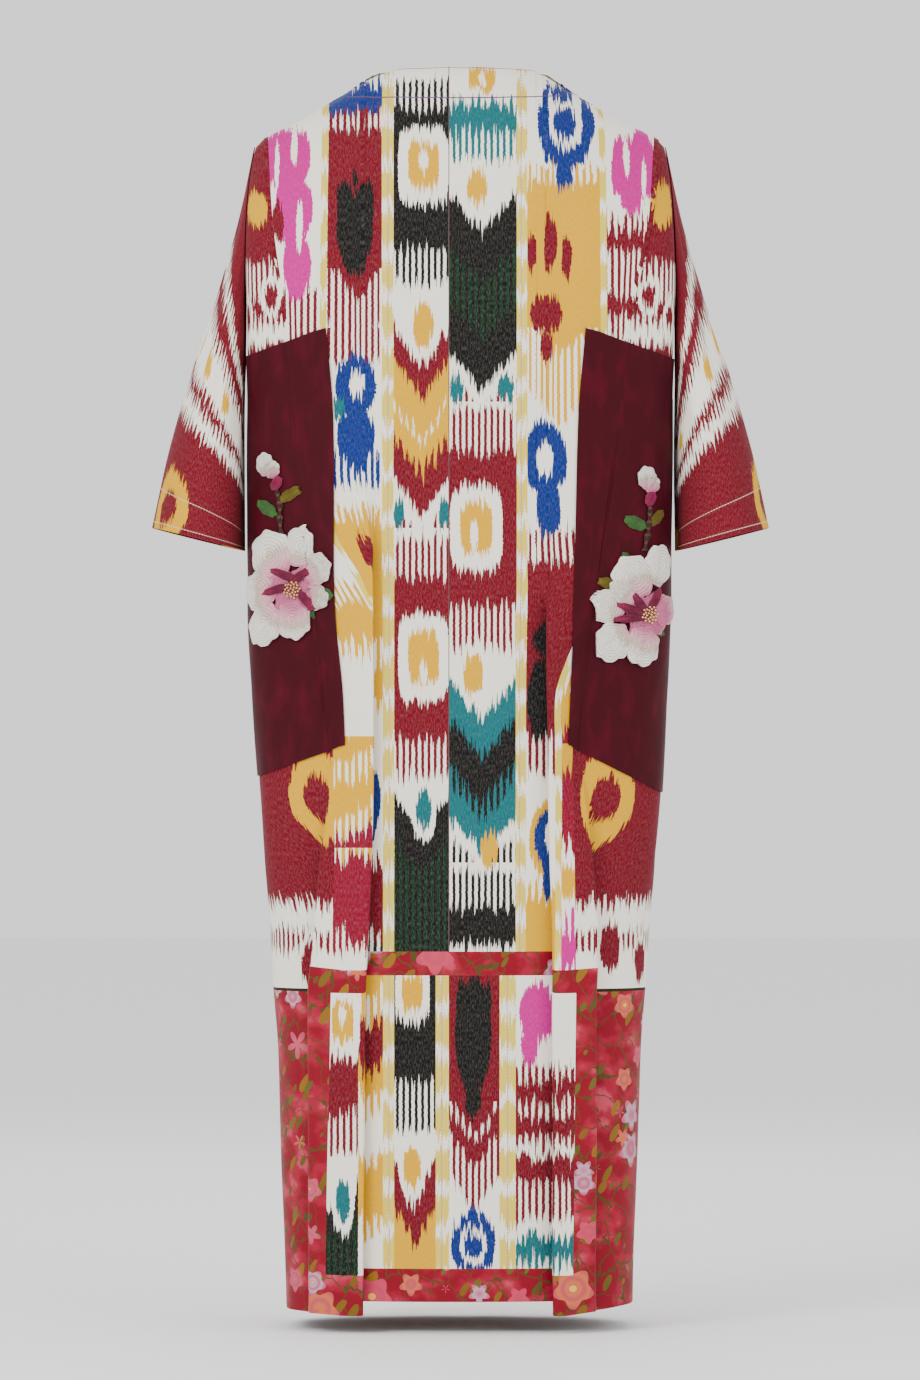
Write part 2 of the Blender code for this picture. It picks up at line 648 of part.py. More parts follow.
def blossom_outline(side):
    """Reach of the blossom at an angle: the furthest petal edge there, or the core."""
    petals = PETALS[side]

    def reach(angle):
        best = BLOSSOM_CORE
        for across, up, size in zip(petals["across"], petals["up"], petals["size"]):
            distance = math.hypot(across, up)
            off = angle - math.atan2(up, across)
            beside = size ** 2 - (distance * math.sin(off)) ** 2
            if beside > 0 and math.cos(off) > 0:
                best = max(best, distance * math.cos(off) + math.sqrt(beside))
        return best
    return reach


def blossom_relief(side):
    """Height of the blossom: each petal is a low dome, and the highest one shows."""
    petals = PETALS[side]

    def height(across, up):
        best = BLOSSOM_HOLLOW
        rows = zip(petals["across"], petals["up"], petals["size"], petals["high"])
        for petal_across, petal_up, size, high in rows:
            away = math.hypot(across - petal_across, up - petal_up) / size
            best = max(best, high * math.sqrt(max(0.0, 1.0 - away * away)))
        return APPLIED_BASE + best
    return height


def sprig_outline(half_length, half_width, turn):
    """Reach of a turned oval at an angle."""
    def reach(angle):
        off = angle - math.pi / 2 + math.radians(turn)
        return 1 / math.hypot(math.cos(off) / half_length, math.sin(off) / half_width)
    return reach


def sprig_relief(reach, high):
    """Height of a small piece: one low dome inside its outline."""
    def height(across, up):
        away = math.hypot(across, up) / reach(math.atan2(up, across))
        return APPLIED_BASE + high * math.sqrt(max(0.0, 1.0 - away * away))
    return height


def make_applied(grid, normals):
    finishes = {"bud": PETAL_WHITE, "calyx": BLUSH, "leaf_inner": LEAF, "leaf_outer": LEAF,
                "twig": TWIG}
    for side in (LEFT, RIGHT):
        word = SIDE_NAME[side]
        spot = BLOSSOMS[side]
        points, faces = applied_solid(grid, normals, side, (spot["out"], spot["z"]), BLOSSOM_CLEAR,
                                      blossom_outline(side), blossom_relief(side),
                                      BLOSSOM_SPOKES, BLOSSOM_RINGS)
        add_object("blossom_" + word, points, faces, PETAL_WHITE)
        for name, rows in SPRIGS.items():
            out, z, half_length, half_width, turn, high = rows[side]
            reach = sprig_outline(half_length, half_width, turn)
            points, faces = applied_solid(grid, normals, side, (out, z), SPRIG_CLEAR, reach,
                                          sprig_relief(reach, high), SPRIG_SPOKES, SPRIG_RINGS)
            add_object(name + "_" + word, points, faces, finishes[name])


def clear_scene():
    for made in list(bpy.data.objects):
        bpy.data.objects.remove(made, do_unlink=True)


def level_ridge(normals):
    """On the shoulder ridge the wall stands upright, so the two faces meet edge to edge."""
    for side in (LEFT, RIGHT):
        for column in range(HALF_COUNT):
            place = ring_place(side, column)
            normals[0, place, 1] = 0.0 if normals[0, place, 2] > 0.3 else normals[0, place, 1]
    length = np.linalg.norm(normals, axis=2, keepdims=True)
    return normals / np.where(length > 1e-9, length, 1.0)


def main():
    clear_scene()
    grid = body_grid()
    normals = level_ridge(grid_normals(grid, body_cells(), RING_COUNT))
    make_panels(grid, normals)
    make_patches(grid, normals)
    make_sleeves(grid)
    make_applied(grid, normals)


main()
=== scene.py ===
"""Ikat kaftan in its worn, hollow form: cloth shells, dyed and printed finishes and flowers.

The cloth is worked out ring by ring in millimetres, as the solids are, on a finer grid.
Patterns read a chart on the cloth: U runs across it and V down it, in squares of 1.1 mm.
"""
import functools
import math

import bpy
import numpy as np
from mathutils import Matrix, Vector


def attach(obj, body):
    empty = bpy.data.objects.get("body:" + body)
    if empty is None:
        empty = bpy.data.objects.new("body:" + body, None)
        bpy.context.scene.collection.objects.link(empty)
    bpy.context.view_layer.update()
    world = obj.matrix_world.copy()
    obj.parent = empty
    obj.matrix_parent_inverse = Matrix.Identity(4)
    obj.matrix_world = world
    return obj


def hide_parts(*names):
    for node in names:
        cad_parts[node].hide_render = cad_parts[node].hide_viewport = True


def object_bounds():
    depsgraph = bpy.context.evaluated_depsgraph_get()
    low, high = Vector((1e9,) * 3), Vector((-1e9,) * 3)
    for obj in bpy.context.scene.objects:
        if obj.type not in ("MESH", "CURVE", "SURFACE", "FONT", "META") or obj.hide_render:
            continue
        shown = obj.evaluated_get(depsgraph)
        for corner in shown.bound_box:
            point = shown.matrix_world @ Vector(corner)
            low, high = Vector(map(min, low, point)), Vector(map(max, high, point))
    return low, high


bl_info = {
    "name": "Ikat kaftan",
    "version": (1, 0, 0),
    "blender": (4, 5, 0),
    "location": "View3D > Sidebar > Kaftan",
    "description": "Builds the cloth, applied flowers and studio of an ikat kaftan",
    "category": "Object",
}

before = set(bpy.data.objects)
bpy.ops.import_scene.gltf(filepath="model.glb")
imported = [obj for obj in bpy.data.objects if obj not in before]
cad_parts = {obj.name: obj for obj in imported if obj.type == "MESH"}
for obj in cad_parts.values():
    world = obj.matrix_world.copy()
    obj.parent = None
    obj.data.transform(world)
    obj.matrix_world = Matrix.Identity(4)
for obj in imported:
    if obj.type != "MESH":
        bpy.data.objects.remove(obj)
CAD_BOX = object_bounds()

MM = 0.001
LEFT = -1
RIGHT = 1
SIDES = ((LEFT, "left"), (RIGHT, "right"))

# Driving dimensions in millimetres, as in the solids' own source
CENTRE_SEAM_X = -12.0
NECK_HALF_WIDTH = 80.0
NAPE_DEPTH = 44.0
THROAT_DEPTH = 66.0
THROAT_DROP = 62.0
SHOULDER_ROUNDING = 120.0
RIDGE_GUESS = 220.0
RIDGE_GAP = 0.3
OVAL_POWER = 2.5
PLEAT_RADIUS = 4.0
LEAST_LIE = 0.6
RIPPLE_DEPTH = 9.0
RIPPLE_START_Z = -420.0
RIPPLE_FULL_Z = -1000.0
CUFF_HALF_DEPTH = 90.0
CUFF_ROUNDNESS = 0.8
SLEEVE_SWAY = 4.5
SLEEVE_CLEAR = 5.0
SLEEVE_START = 1.7

# Share of a pleat's making in which the cloth turns, before it starts to lie back
TURN_SHARE = 0.5
# Least turn of a pleat in radians, and the angle in degrees past which an edge is sharp
LEAST_ANGLE = 1e-4
SMOOTH_ANGLE = 55.0

# Steps of the grid between its named lines
CENTRE_STEPS = 3
TURN_STEPS = 3
CORNER_STEPS = 6
FLAT_STEPS = 2
FAR_CORNER_STEPS = 4
FAR_STEPS = 5

# Shoulder ridge, from the neck outwards
SHOULDER = {
    "x": (0.0, 80.0, 110.0, 158.0, 214.0, 229.0, 240.0),
    "z": (0.0, -1.0, -16.0, -47.0, -75.0, -90.0, -104.0),
}

# Body rings: half widths on each side, depth of each face, half width of the flat side
BODY = {
    "z": (0, -95, -146, -200, -258, -317, -363, -530, -640, -737, -847, -957, -1067, -1177, -1364),
    "left": (200, 228, 233, 234, 233, 232, 231, 231, 230, 220, 214, 206, 199, 196, 189),
    "right": (200, 228, 233, 235, 234, 232, 231, 230, 228, 220, 213, 205, 198, 194, 188),
    "near": (70, 90, 98, 104, 107, 108, 108, 109, 111, 112, 114, 116, 118, 120, 124),
    "far": (80, 98, 110, 118, 123, 125, 125, 124, 124, 126, 129, 132, 135, 138, 142),
    "flat": (20, 34, 46, 50, 47, 36, 26, 25, 25, 25, 26, 27, 28, 28, 30),
}

# Lines down the near face, as distances out from the middle
LINES = {
    LEFT: {
        "seam": ((-78, -146, -188, -227, -258, -291, -737, -858, -990, -1364),
                 (211, 206, 203, 197, 191, 187, 138, 136, 140, 147)),
        "patch": ((-78, -285, -323, -382, -587, -638, -675, -737, -990, -1364),
                  (160, 148, 141, 137, 136, 132, 127, 124, 125, 128)),
        "inner": ((-78, -453, -583, -792, -858, -985, -1364),
                  (100, 98, 95, 94, 96, 103, 106)),
        "outer": ((-78, -146, -291, -737, -790, -841, -922, -990, -1364),
                  (215, 210, 192, 143, 143, 150, 158, 165, 164)),
    },
    RIGHT: {
        "seam": ((-78, -113, -162, -203, -240, -297, -737, -858, -990, -1364),
                 (213, 210, 207, 200, 188, 178, 122, 124, 126, 122)),
        "patch": ((-78, -294, -355, -420, -562, -638, -764, -990, -1364),
                  (150, 137, 130, 127, 124, 121, 116, 115, 114)),
        "inner": ((-78, -554, -605, -781, -968, -1364),
                  (88, 89, 94, 96, 101, 101)),
        "outer": ((-78, -146, -297, -737, -790, -838, -928, -990, -1364),
                  (217, 213, 184, 128, 137, 142, 150, 148, 147)),
    },
}

# Pleats: where each starts and is fully turned, and the cloth that lies back in it
PLEATS = {
    (LEFT, "inner"): {"start": -440.0, "full": -640.0, "return": 20.0, "flat_turn": 8.0},
    (RIGHT, "inner"): {"start": -540.0, "full": -700.0, "return": 12.0, "flat_turn": 8.0},
    (LEFT, "outer"): {"start": -748.0, "full": -930.0, "return": 13.0, "flat_turn": 1.2},
    (RIGHT, "outer"): {"start": -752.0, "full": -900.0, "return": 7.0, "flat_turn": 1.2},
}

# Seam line of the far face
FAR_SEAM = ((-78, -300, -740, -1000, -1364), (208, 184, 152, 150, 150))

# Rows of the grid below the shoulder: heights at the middle, on the pleats and at the side
YOKE_FRACTIONS = (0.0, 0.03, 0.11, 0.24, 0.42, 0.62, 0.82)
ROWS = {
    "name": ("patch_top", "underarm", "bust", "waist", "low_waist", "hip", "low_hip", "seat",
             "patch_bottom", "thigh", "knee", "calf", "tier_hem", "band_hem", "skirt_1",
             "skirt_2", "skirt_3", "skirt_4", "skirt_hem", "hem"),
    "middle": (-300, -363, -410, -455, -510, -560, -615, -680,
               -745, -800, -860, -920, -966, -992, -1060,
               -1130, -1195, -1255, -1310, -1346),
    "pleat": (-288, -363, -410, -455, -510, -560, -615, -680,
              -742, -800, -862, -928, -986, -1011, -1072,
              -1137, -1200, -1260, -1317, -1361),
    "left": (-317, -363, -410, -455, -510, -560, -615, -690,
             -776, -824, -878, -930, -978, -1010, -1070,
             -1135, -1200, -1260, -1316, -1358),
    "right": (-320, -363, -410, -455, -510, -560, -615, -700,
              -794, -838, -886, -934, -980, -1010, -1070,
              -1135, -1200, -1260, -1314, -1352),
}

# Cuffs: outer and inner end of the cuff's middle line, seen from the near side
CUFF = {
    LEFT: {"outer": (338.0, -504.0), "inner": (237.0, -529.0)},
    RIGHT: {"outer": (339.0, -504.0), "inner": (237.0, -529.0)},
}
SLEEVE_FRACTIONS = (0.0, 0.06, 0.2, 0.4, 0.6, 0.8, 1.0)


def columns_to(table, z):
    """Value of a two row table at height z."""
    heights, values = table
    return float(np.interp(z, heights[::-1], values[::-1]))


def body_at(name, z):
    """Value of one column of the body's table at height z."""
    return columns_to((BODY["z"], BODY[name]), z)


def half_width_at(side, z):
    """Half width of one side of the body at height z."""
    return body_at("left" if side == LEFT else "right", z)


def line_at(side, name, z):
    """Distance out of a named line of one side at height z."""
    return columns_to(LINES[side][name], z)


def ease(value):
    """Smooth step from 0 to 1."""
    held = min(1.0, max(0.0, value))
    return held * held * (3.0 - 2.0 * held)


def ridge_height(across):
    """Height of the shoulder ridge at a distance from the middle."""
    return float(np.interp(abs(across), SHOULDER["x"], SHOULDER["z"]))


def pleat_plan(side, name, z):
    """Plan of one pleat: the cloth turns by an angle, lies back, and turns forward again.

    Each turn is an arc of constant curvature. Gives distances outwards and forwards.
    """
    pleat = PLEATS[side, name]
    made = ease((pleat["start"] - z) / (pleat["start"] - pleat["full"]))
    turned = min(1.0, made / TURN_SHARE)
    angle = math.pi * turned
    back = pleat["return"] * max(0.0, made - TURN_SHARE) / TURN_SHARE
    turn = pleat["flat_turn"] + (math.pi * PLEAT_RADIUS - pleat["flat_turn"]) * turned
    angles = np.linspace(0.0, angle, TURN_STEPS + 1)
    if angle < LEAST_ANGLE:
        out = turn * np.linspace(0.0, 1.0, TURN_STEPS + 1)
        forward = np.zeros(TURN_STEPS + 1)
    else:
        out = turn / angle * np.sin(angles)
        forward = turn / angle * (1.0 - np.cos(angles))
    lie = max(back, LEAST_LIE)
    steps_out = np.concatenate([np.diff(out), [lie * math.cos(angle)], np.diff(out)[::-1]])
    steps_on = np.concatenate([np.diff(forward), [lie * math.sin(angle)], np.diff(forward)[::-1]])
    return (np.concatenate([[0.0], np.cumsum(steps_out)]),
            np.concatenate([[0.0], np.cumsum(steps_on)]))


def near_plan(side, z):
    """Near face of one ring from the centre seam to the side.

    Gives the distance out from the middle and the distance forward of the plain oval.
    """
    middle = TURN_STEPS + 1
    inner_out, inner_on = pleat_plan(side, "inner", z)
    inner_out = inner_out - inner_out[middle:].min() + line_at(side, "inner", z)
    outer_out, outer_on = pleat_plan(side, "outer", z)
    outer_out = outer_out - outer_out[:middle].max() + line_at(side, "outer", z)
    crest = inner_on[-1]
    edge = outer_on[-1]
    centre = np.linspace(CENTRE_SEAM_X * side, inner_out[0], CENTRE_STEPS + 1)[:-1]
    front = np.array([line_at(side, "patch", z), line_at(side, "seam", z)])
    front_on = np.interp(front, [inner_out[-1], outer_out[0]], [crest, edge])
    half_width = half_width_at(side, z)
    start = math.asin(min(1.0, outer_out[-1] / half_width) ** (OVAL_POWER / 2))
    corner = np.linspace(start, math.pi / 2, CORNER_STEPS + 1)[1:]
    corner_out = half_width * np.sin(corner) ** (2 / OVAL_POWER)
    out = np.concatenate([centre, inner_out, front, outer_out, corner_out])
    forward = np.concatenate([np.zeros(len(centre)), inner_on, front_on, edge - outer_on,
                              np.zeros(len(corner_out))])
    return out, forward


def oval(out, half_width, depth, flat):
    """Depth of a plain oval with flat sides at a distance out from the middle."""
    part = np.clip(np.abs(out) / half_width, 0.0, 1.0)
    return flat + (depth - flat) * (1.0 - part ** OVAL_POWER) ** (1 / OVAL_POWER)


# Named columns of one side, each a number of steps past the one before
COLUMN_NAMES = {}
for line_name, line_steps in (("centre", 0), ("inner_start", CENTRE_STEPS),
                              ("inner_end", 2 * TURN_STEPS + 1), ("patch", 1), ("seam", 1),
                              ("outer_start", 1), ("outer_edge", TURN_STEPS - 1),
                              ("near_arm", TURN_STEPS + 2 + CORNER_STEPS),
                              ("far_arm", FLAT_STEPS), ("far_seam", FAR_CORNER_STEPS),
                              ("far_centre", FAR_STEPS)):
    COLUMN_NAMES[line_name] = max(COLUMN_NAMES.values(), default=0) + line_steps
HALF_COUNT = COLUMN_NAMES["far_centre"] + 1
RING_COUNT = 2 * HALF_COUNT - 2

YOKE_COUNT = len(YOKE_FRACTIONS)
ROW_NAMES = {name: YOKE_COUNT + place for place, name in enumerate(ROWS["name"])}
ROW_COUNT = YOKE_COUNT + len(ROWS["name"])
UNDERARM = ROW_NAMES["underarm"]


def named_height(place, side, column, out, half_width, patch_out):
    """Height of a named row at one column: middle, then pleat, then side."""
    middle = ROWS["middle"][place]
    pleat = ROWS["pleat"][place]
    at_side = ROWS["left" if side == LEFT else "right"][place]
    if column <= COLUMN_NAMES["inner_end"]:
        span = COLUMN_NAMES["inner_end"] - COLUMN_NAMES["inner_start"]
        return middle + (pleat - middle) * ease((column - COLUMN_NAMES["inner_start"]) / span)
    if column <= COLUMN_NAMES["near_arm"]:
        part = min(1.0, max(0.0, (out - patch_out) / (half_width - patch_out)))
        return pleat + (at_side - pleat) * part
    if column <= COLUMN_NAMES["far_arm"]:
        return at_side
    part = min(1.0, max(0.0, out / half_width))
    return pleat + (at_side - pleat) * part


def half_ring(side, z_guess):
    """One side of a ring at one height, from the near centre to the far centre."""
    half_width = half_width_at(side, z_guess)
    flat = body_at("flat", z_guess)
    near_out, forward = near_plan(side, z_guess)
    near_y = -oval(near_out, half_width, body_at("near", z_guess), flat)
    flat_y = np.linspace(-flat, flat, FLAT_STEPS + 1)[1:-1]
    seam_part = columns_to(FAR_SEAM, z_guess) / half_width
    start = math.asin(min(1.0, seam_part) ** (OVAL_POWER / 2))
    corner = np.linspace(math.pi / 2, start, FAR_CORNER_STEPS + 1)
    corner_out = half_width * np.sin(corner) ** (2 / OVAL_POWER)
    far_out = np.concatenate([corner_out, np.linspace(corner_out[-1], 0.0, FAR_STEPS + 1)[1:]])
    far_y = oval(far_out, half_width, body_at("far", z_guess), flat)
    hang = ease((RIPPLE_START_Z - z_guess) / (RIPPLE_START_Z - RIPPLE_FULL_Z))
    wave = np.sin(np.pi * np.clip(far_out / corner_out[-1], 0.0, 1.0) * 2.0) ** 2
    far_y = far_y + RIPPLE_DEPTH * hang * wave
    out = np.concatenate([near_out, np.full(len(flat_y), half_width), far_out])
    y = np.concatenate([near_y, flat_y, far_y])
    push = np.concatenate([forward, np.zeros(len(flat_y) + len(far_out))])
    return out, y, push


def shoulder_rise(below):
    """Part of its full depth that the cloth has at a distance below the ridge."""
    part = np.clip(below / SHOULDER_ROUNDING, 0.0, 1.0)
    return np.sqrt(1.0 - (1.0 - part) ** 2)


def named_heights(side, place, out, guess_z):
    """Heights of a named row at each column."""
    half_width = half_width_at(side, guess_z)
    patch_out = line_at(side, "patch", guess_z)
    return np.array([named_height(place, side, column, out[column], half_width, patch_out)
                     for column in range(HALF_COUNT)])


def yoke_row(side, fraction):
    """Row between the shoulder ridge and the top of the patches."""
    far = np.arange(HALF_COUNT) >= COLUMN_NAMES["far_arm"]
    guess_z = ridge_height(RIDGE_GUESS) * (1 - fraction) + ROWS["middle"][0] * fraction
    out, y, _ = half_ring(side, guess_z)
    neck_part = np.clip(np.abs(out) / NECK_HALF_WIDTH, 0.0, 1.0)
    ridge = np.array([ridge_height(value) for value in out])
    ridge = ridge - far * THROAT_DROP * (1.0 - neck_part ** 2)
    z = ridge * (1 - fraction) + named_heights(side, 0, out, guess_z) * fraction
    neck = np.where(far, THROAT_DEPTH, NAPE_DEPTH)
    edge = neck * np.sqrt(1.0 - neck_part ** 2) + RIDGE_GAP
    depth = edge + (np.abs(y) - edge) * shoulder_rise(ridge - z)
    return np.stack([side * out, np.where(far, depth, -depth), z], axis=1)


def named_row(side, place):
    """Row at and below the top of the patches."""
    guess_z = ROWS["middle"][place]
    out, y, push = half_ring(side, guess_z)
    z = named_heights(side, place, out, guess_z)
    columns = np.arange(HALF_COUNT)
    rise = shoulder_rise(np.array([ridge_height(value) for value in out]) - z)
    on_flat = (columns > COLUMN_NAMES["near_arm"]) & (columns < COLUMN_NAMES["far_arm"])
    rise = np.where(on_flat, 1.0, rise)
    return np.stack([side * out, y * rise - push, z], axis=1)


def ring_place(side, column):
    """Place of one side's column on the whole ring."""
    return column if side == LEFT else (RING_COUNT - column) % RING_COUNT


def body_grid():
    """All rings, from the ridge to the hem, as one array of points."""
    grid = np.zeros((ROW_COUNT, RING_COUNT, 3))
    for side in (RIGHT, LEFT):
        rows = [yoke_row(side, fraction) for fraction in YOKE_FRACTIONS]
        rows += [named_row(side, place) for place in range(len(ROWS["name"]))]
        for column in range(HALF_COUNT):
            grid[:, ring_place(side, column)] = np.array([row[column] for row in rows])
    return grid


# Finer grid: how often each step between the rows and between the columns is split again
ROW_SPLIT = 7
COLUMN_SPLIT = 3

# Thickness of the cloth shells, and height and thickness of the patches over the sides, in mm
SHELL = 0.9
PATCH_LIFT = 1.9
PATCH_SHELL = 0.6

# Chart: millimetres to a square, squares to the middle of the neck, and leaps of U that are
# the chart's own cut, between two columns and within one cell
CHART_UNIT = 1.1
CHART_MIDDLE = 460.0
CHART_TOP = 70.0
COLUMN_LEAP = 200
CELL_LEAP = 60

# Soft creases: chart place of the middle, half length, half width,
# slant across for each step down, and depth in millimetres (negative sinks in)
CREASES = {
    "u": (300, 318, 345, 405, 425, 470, 498, 530, 566, 590, 615, 285, 638, 358, 548, 410, 505,
          340, 575, 622, 300),
    "v": (230, 300, 200, 640, 800, 720, 560, 300, 260, 420, 300, 420, 430, 560, 640, 1120, 1150,
          860, 880, 880, 900),
    "long": (130, 150, 110, 230, 120, 190, 170, 150, 140, 170, 150, 150, 140, 120, 140, 130, 130,
             90, 90, 100, 100),
    "wide": (7, 9, 8, 6, 7, 6, 7, 7, 8, 9, 8, 8, 9, 7, 7, 7, 8, 7, 7, 9, 9),
    "slant": (0.1, 0.16, 0.05, -0.02, 0.03, 0.01, -0.04, -0.05, -0.1, -0.1, -0.16, 0.05, -0.05,
              0.08, -0.06, 0.02, -0.03, 0.05, -0.05, 0.0, 0.0),
    "deep": (-2.4, 2.6, -1.8, 1.8, -1.6, -1.5, 1.6, 1.5, -2.2, 2.2, -2.4, 1.8, -1.8, 1.6, -1.6,
             1.6, -1.8, -1.4, 1.4, 1.8, 1.8),
}


def refine(values, axis, times):
    """Splits each step of a grid axis by a Catmull-Rom cubic through its neighbours.

    p(t) = half of 2b + (c - a)t + (2a - 5b + 4c - d)t^2 + (3b - a - 3c + d)t^3.
    """
    values = np.moveaxis(values, axis, 0)
    before = np.concatenate([values[:1] * 2 - values[1:2], values[:-2]])
    after = np.concatenate([values[2:], values[-1:] * 2 - values[-2:-1]])
    b, c = values[:-1], values[1:]
    pieces = []
    for step in range(times):
        t = step / times
        pieces.append(0.5 * (2 * b + (c - before) * t + (2 * before - 5 * b + 4 * c - after) * t ** 2
                             + (3 * b - before - 3 * c + after) * t ** 3))
    fine = np.stack(pieces, axis=1).reshape((-1,) + values.shape[1:])
    return np.moveaxis(np.concatenate([fine, values[-1:]]), 0, axis)


def chart_rows(half):
    """Chart of one side's rows: U is the cloth's own run across, V its height down.

    Flat stretches of the near face run as they show; pleats and sides run along the cloth.
    """
    step = np.diff(half, axis=1)
    flat_run = np.abs(step[:, :, 0])
    cloth_run = np.linalg.norm(step[:, :, :2], axis=2)
    along = np.zeros(flat_run.shape[1], bool)
    along[COLUMN_NAMES["inner_start"]:COLUMN_NAMES["inner_end"]] = True
    along[COLUMN_NAMES["outer_start"]:] = True
    run = np.where(along, cloth_run, flat_run)
    return np.concatenate([np.zeros((len(half), 1)), np.cumsum(run, axis=1)], axis=1)


class Cloth:
    """Body of the kaftan as one fine grid, with its chart, its directions and its cells."""

    def __init__(self):
        self.coarse = body_grid()
        self.columns = RING_COUNT * COLUMN_SPLIT
        u = np.zeros((ROW_COUNT, RING_COUNT))
        mask = np.zeros((ROW_COUNT - 1, RING_COUNT), bool)
        first, last = COLUMN_NAMES["near_arm"], COLUMN_NAMES["far_arm"]
        for side in (RIGHT, LEFT):
            places = [ring_place(side, column) for column in range(HALF_COUNT)]
            u[:, places] = CENTRE_SEAM_X + side * chart_rows(self.coarse[:, places])
            for column in range(HALF_COUNT - 1):
                start = UNDERARM if first <= column < last else 0
                mask[start:, column if side == LEFT else RING_COUNT - 1 - column] = True
        ring = np.concatenate([self.coarse, self.coarse[:, :1]], axis=1)
        self.points = refine(refine(ring, 0, ROW_SPLIT), 1, COLUMN_SPLIT)[:, :-1]
        self.mask = np.repeat(np.repeat(mask, ROW_SPLIT, axis=0), COLUMN_SPLIT, axis=1)
        self.u = CHART_MIDDLE + self.spread_chart(u) / CHART_UNIT
        self.front_u = CHART_MIDDLE + self.points[:, :, 0] / CHART_UNIT
        self.v = CHART_TOP - self.points[:, :, 2] / CHART_UNIT
        self.normals = self.facing()
        self.crease()
        self.normals = self.facing()

    def spread_chart(self, u):
        """Chart U on the fine grid; the far middle jumps, so each cell keeps its own side."""
        ring = np.concatenate([u, u[:, :1]], axis=1)
        rows = refine(ring, 0, ROW_SPLIT)
        parts = np.arange(COLUMN_SPLIT) / COLUMN_SPLIT
        low, high = rows[:, :-1, None], rows[:, 1:, None]
        jump = np.abs(high - low) > COLUMN_LEAP
        return np.where(jump, low, low * (1 - parts) + high * parts).reshape(len(rows), -1)

    def facing(self):
        """Outward direction: cross product of each cell's diagonals, shared by its corners."""
        p = self.points
        q = np.roll(p, -1, axis=1)
        across = np.cross(q[1:] - p[:-1], p[1:] - q[:-1]) * self.mask[:, :, None]
        total = np.zeros_like(p)
        total[:-1] += across
        total[1:] += across
        total[:-1] += np.roll(across, 1, axis=1)
        total[1:] += np.roll(across, 1, axis=1)
        length = np.linalg.norm(total, axis=2, keepdims=True)
        return total / np.where(length > 1e-9, length, 1.0)

    def crease(self):
        """Adds the creases: a smooth bump across, times a smooth window along each."""
        push = np.zeros(self.u.shape)
        far = self.points[:, :, 1] > 0
        for u, v, long, wide, slant, deep in zip(*CREASES.values()):
            shift = 9.0 if deep > 0 else -6.0
            across = self.u - u - slant * (self.v - v) - np.where(far, shift, 0.0)
            window = np.clip(1 - ((self.v - v) / long) ** 2, 0, 1) ** 2
            push += deep * np.exp(-(across / wide) ** 2) * window
        push += 0.5 * np.sin(self.v / 31 + self.u / 9) * np.sin(self.u / 17 + 1)
        self.points = self.points + self.normals * push[:, :, None]

    def block(self, side, top, bottom, first, last):
        """Mask of the cells between two coarse rows and two named columns of one side."""
        cells = np.zeros(self.mask.shape, bool)
        start, stop = COLUMN_NAMES[first], COLUMN_NAMES[last]
        if side == RIGHT:
            start, stop = RING_COUNT - stop, RING_COUNT - start
        cells[top * ROW_SPLIT:bottom * ROW_SPLIT, start * COLUMN_SPLIT:stop * COLUMN_SPLIT] = True
        return cells & self.mask


def shell_mesh(points, normals, chart, mask, low, high):
    """Closed wall over the cells of a mask on a closed ring, from a low to a high distance out."""
    rows, places = np.nonzero(mask)
    count = points.shape[1]
    after = (places + 1) % count

    def at_corners(grid):
        """Values of a grid at the four corners of each cell."""
        return np.stack([grid[rows, places], grid[rows, after],
                         grid[rows + 1, after], grid[rows + 1, places]], 1)

    corner_u, corner_v = (at_corners(grid) for grid in chart)
    leap = np.abs(corner_u.max(1) - corner_u.min(1)) > CELL_LEAP
    corner_u[leap] = corner_u[leap][:, :1] + np.array([0.0, 1.0, 1.0, 0.0])
    corner = at_corners(np.arange(len(points) * count).reshape(-1, count))
    used, index = np.unique(corner, return_inverse=True)
    index = index.reshape(corner.shape)
    base = points.reshape(-1, 3)[used]
    along = normals.reshape(-1, 3)[used]
    total = len(used)
    faces = [index, index[:, ::-1] + total]
    uv = np.stack([corner_u, corner_v], 2)
    uvs = [uv, uv[:, ::-1]]
    padded = np.zeros((mask.shape[0] + 2, mask.shape[1] + 2), bool)
    padded[1:-1, 1:-1] = mask
    padded[1:-1, 0], padded[1:-1, -1] = mask[:, -1], mask[:, 0]
    beside = (padded[rows, places + 1], padded[rows + 1, places + 2],
              padded[rows + 2, places + 1], padded[rows + 1, places])
    for edge, neighbour in enumerate(beside):
        free = ~neighbour
        a, b = index[free, edge], index[free, (edge + 1) % 4]
        ua, ub = uv[free, edge], uv[free, (edge + 1) % 4]
        faces.append(np.stack([b, a, a + total, b + total], 1))
        uvs.append(np.stack([ub, ua, ua, ub], 1))
    return (np.concatenate([base + along * high, base + along * low]),
            np.concatenate(faces), np.concatenate(uvs))


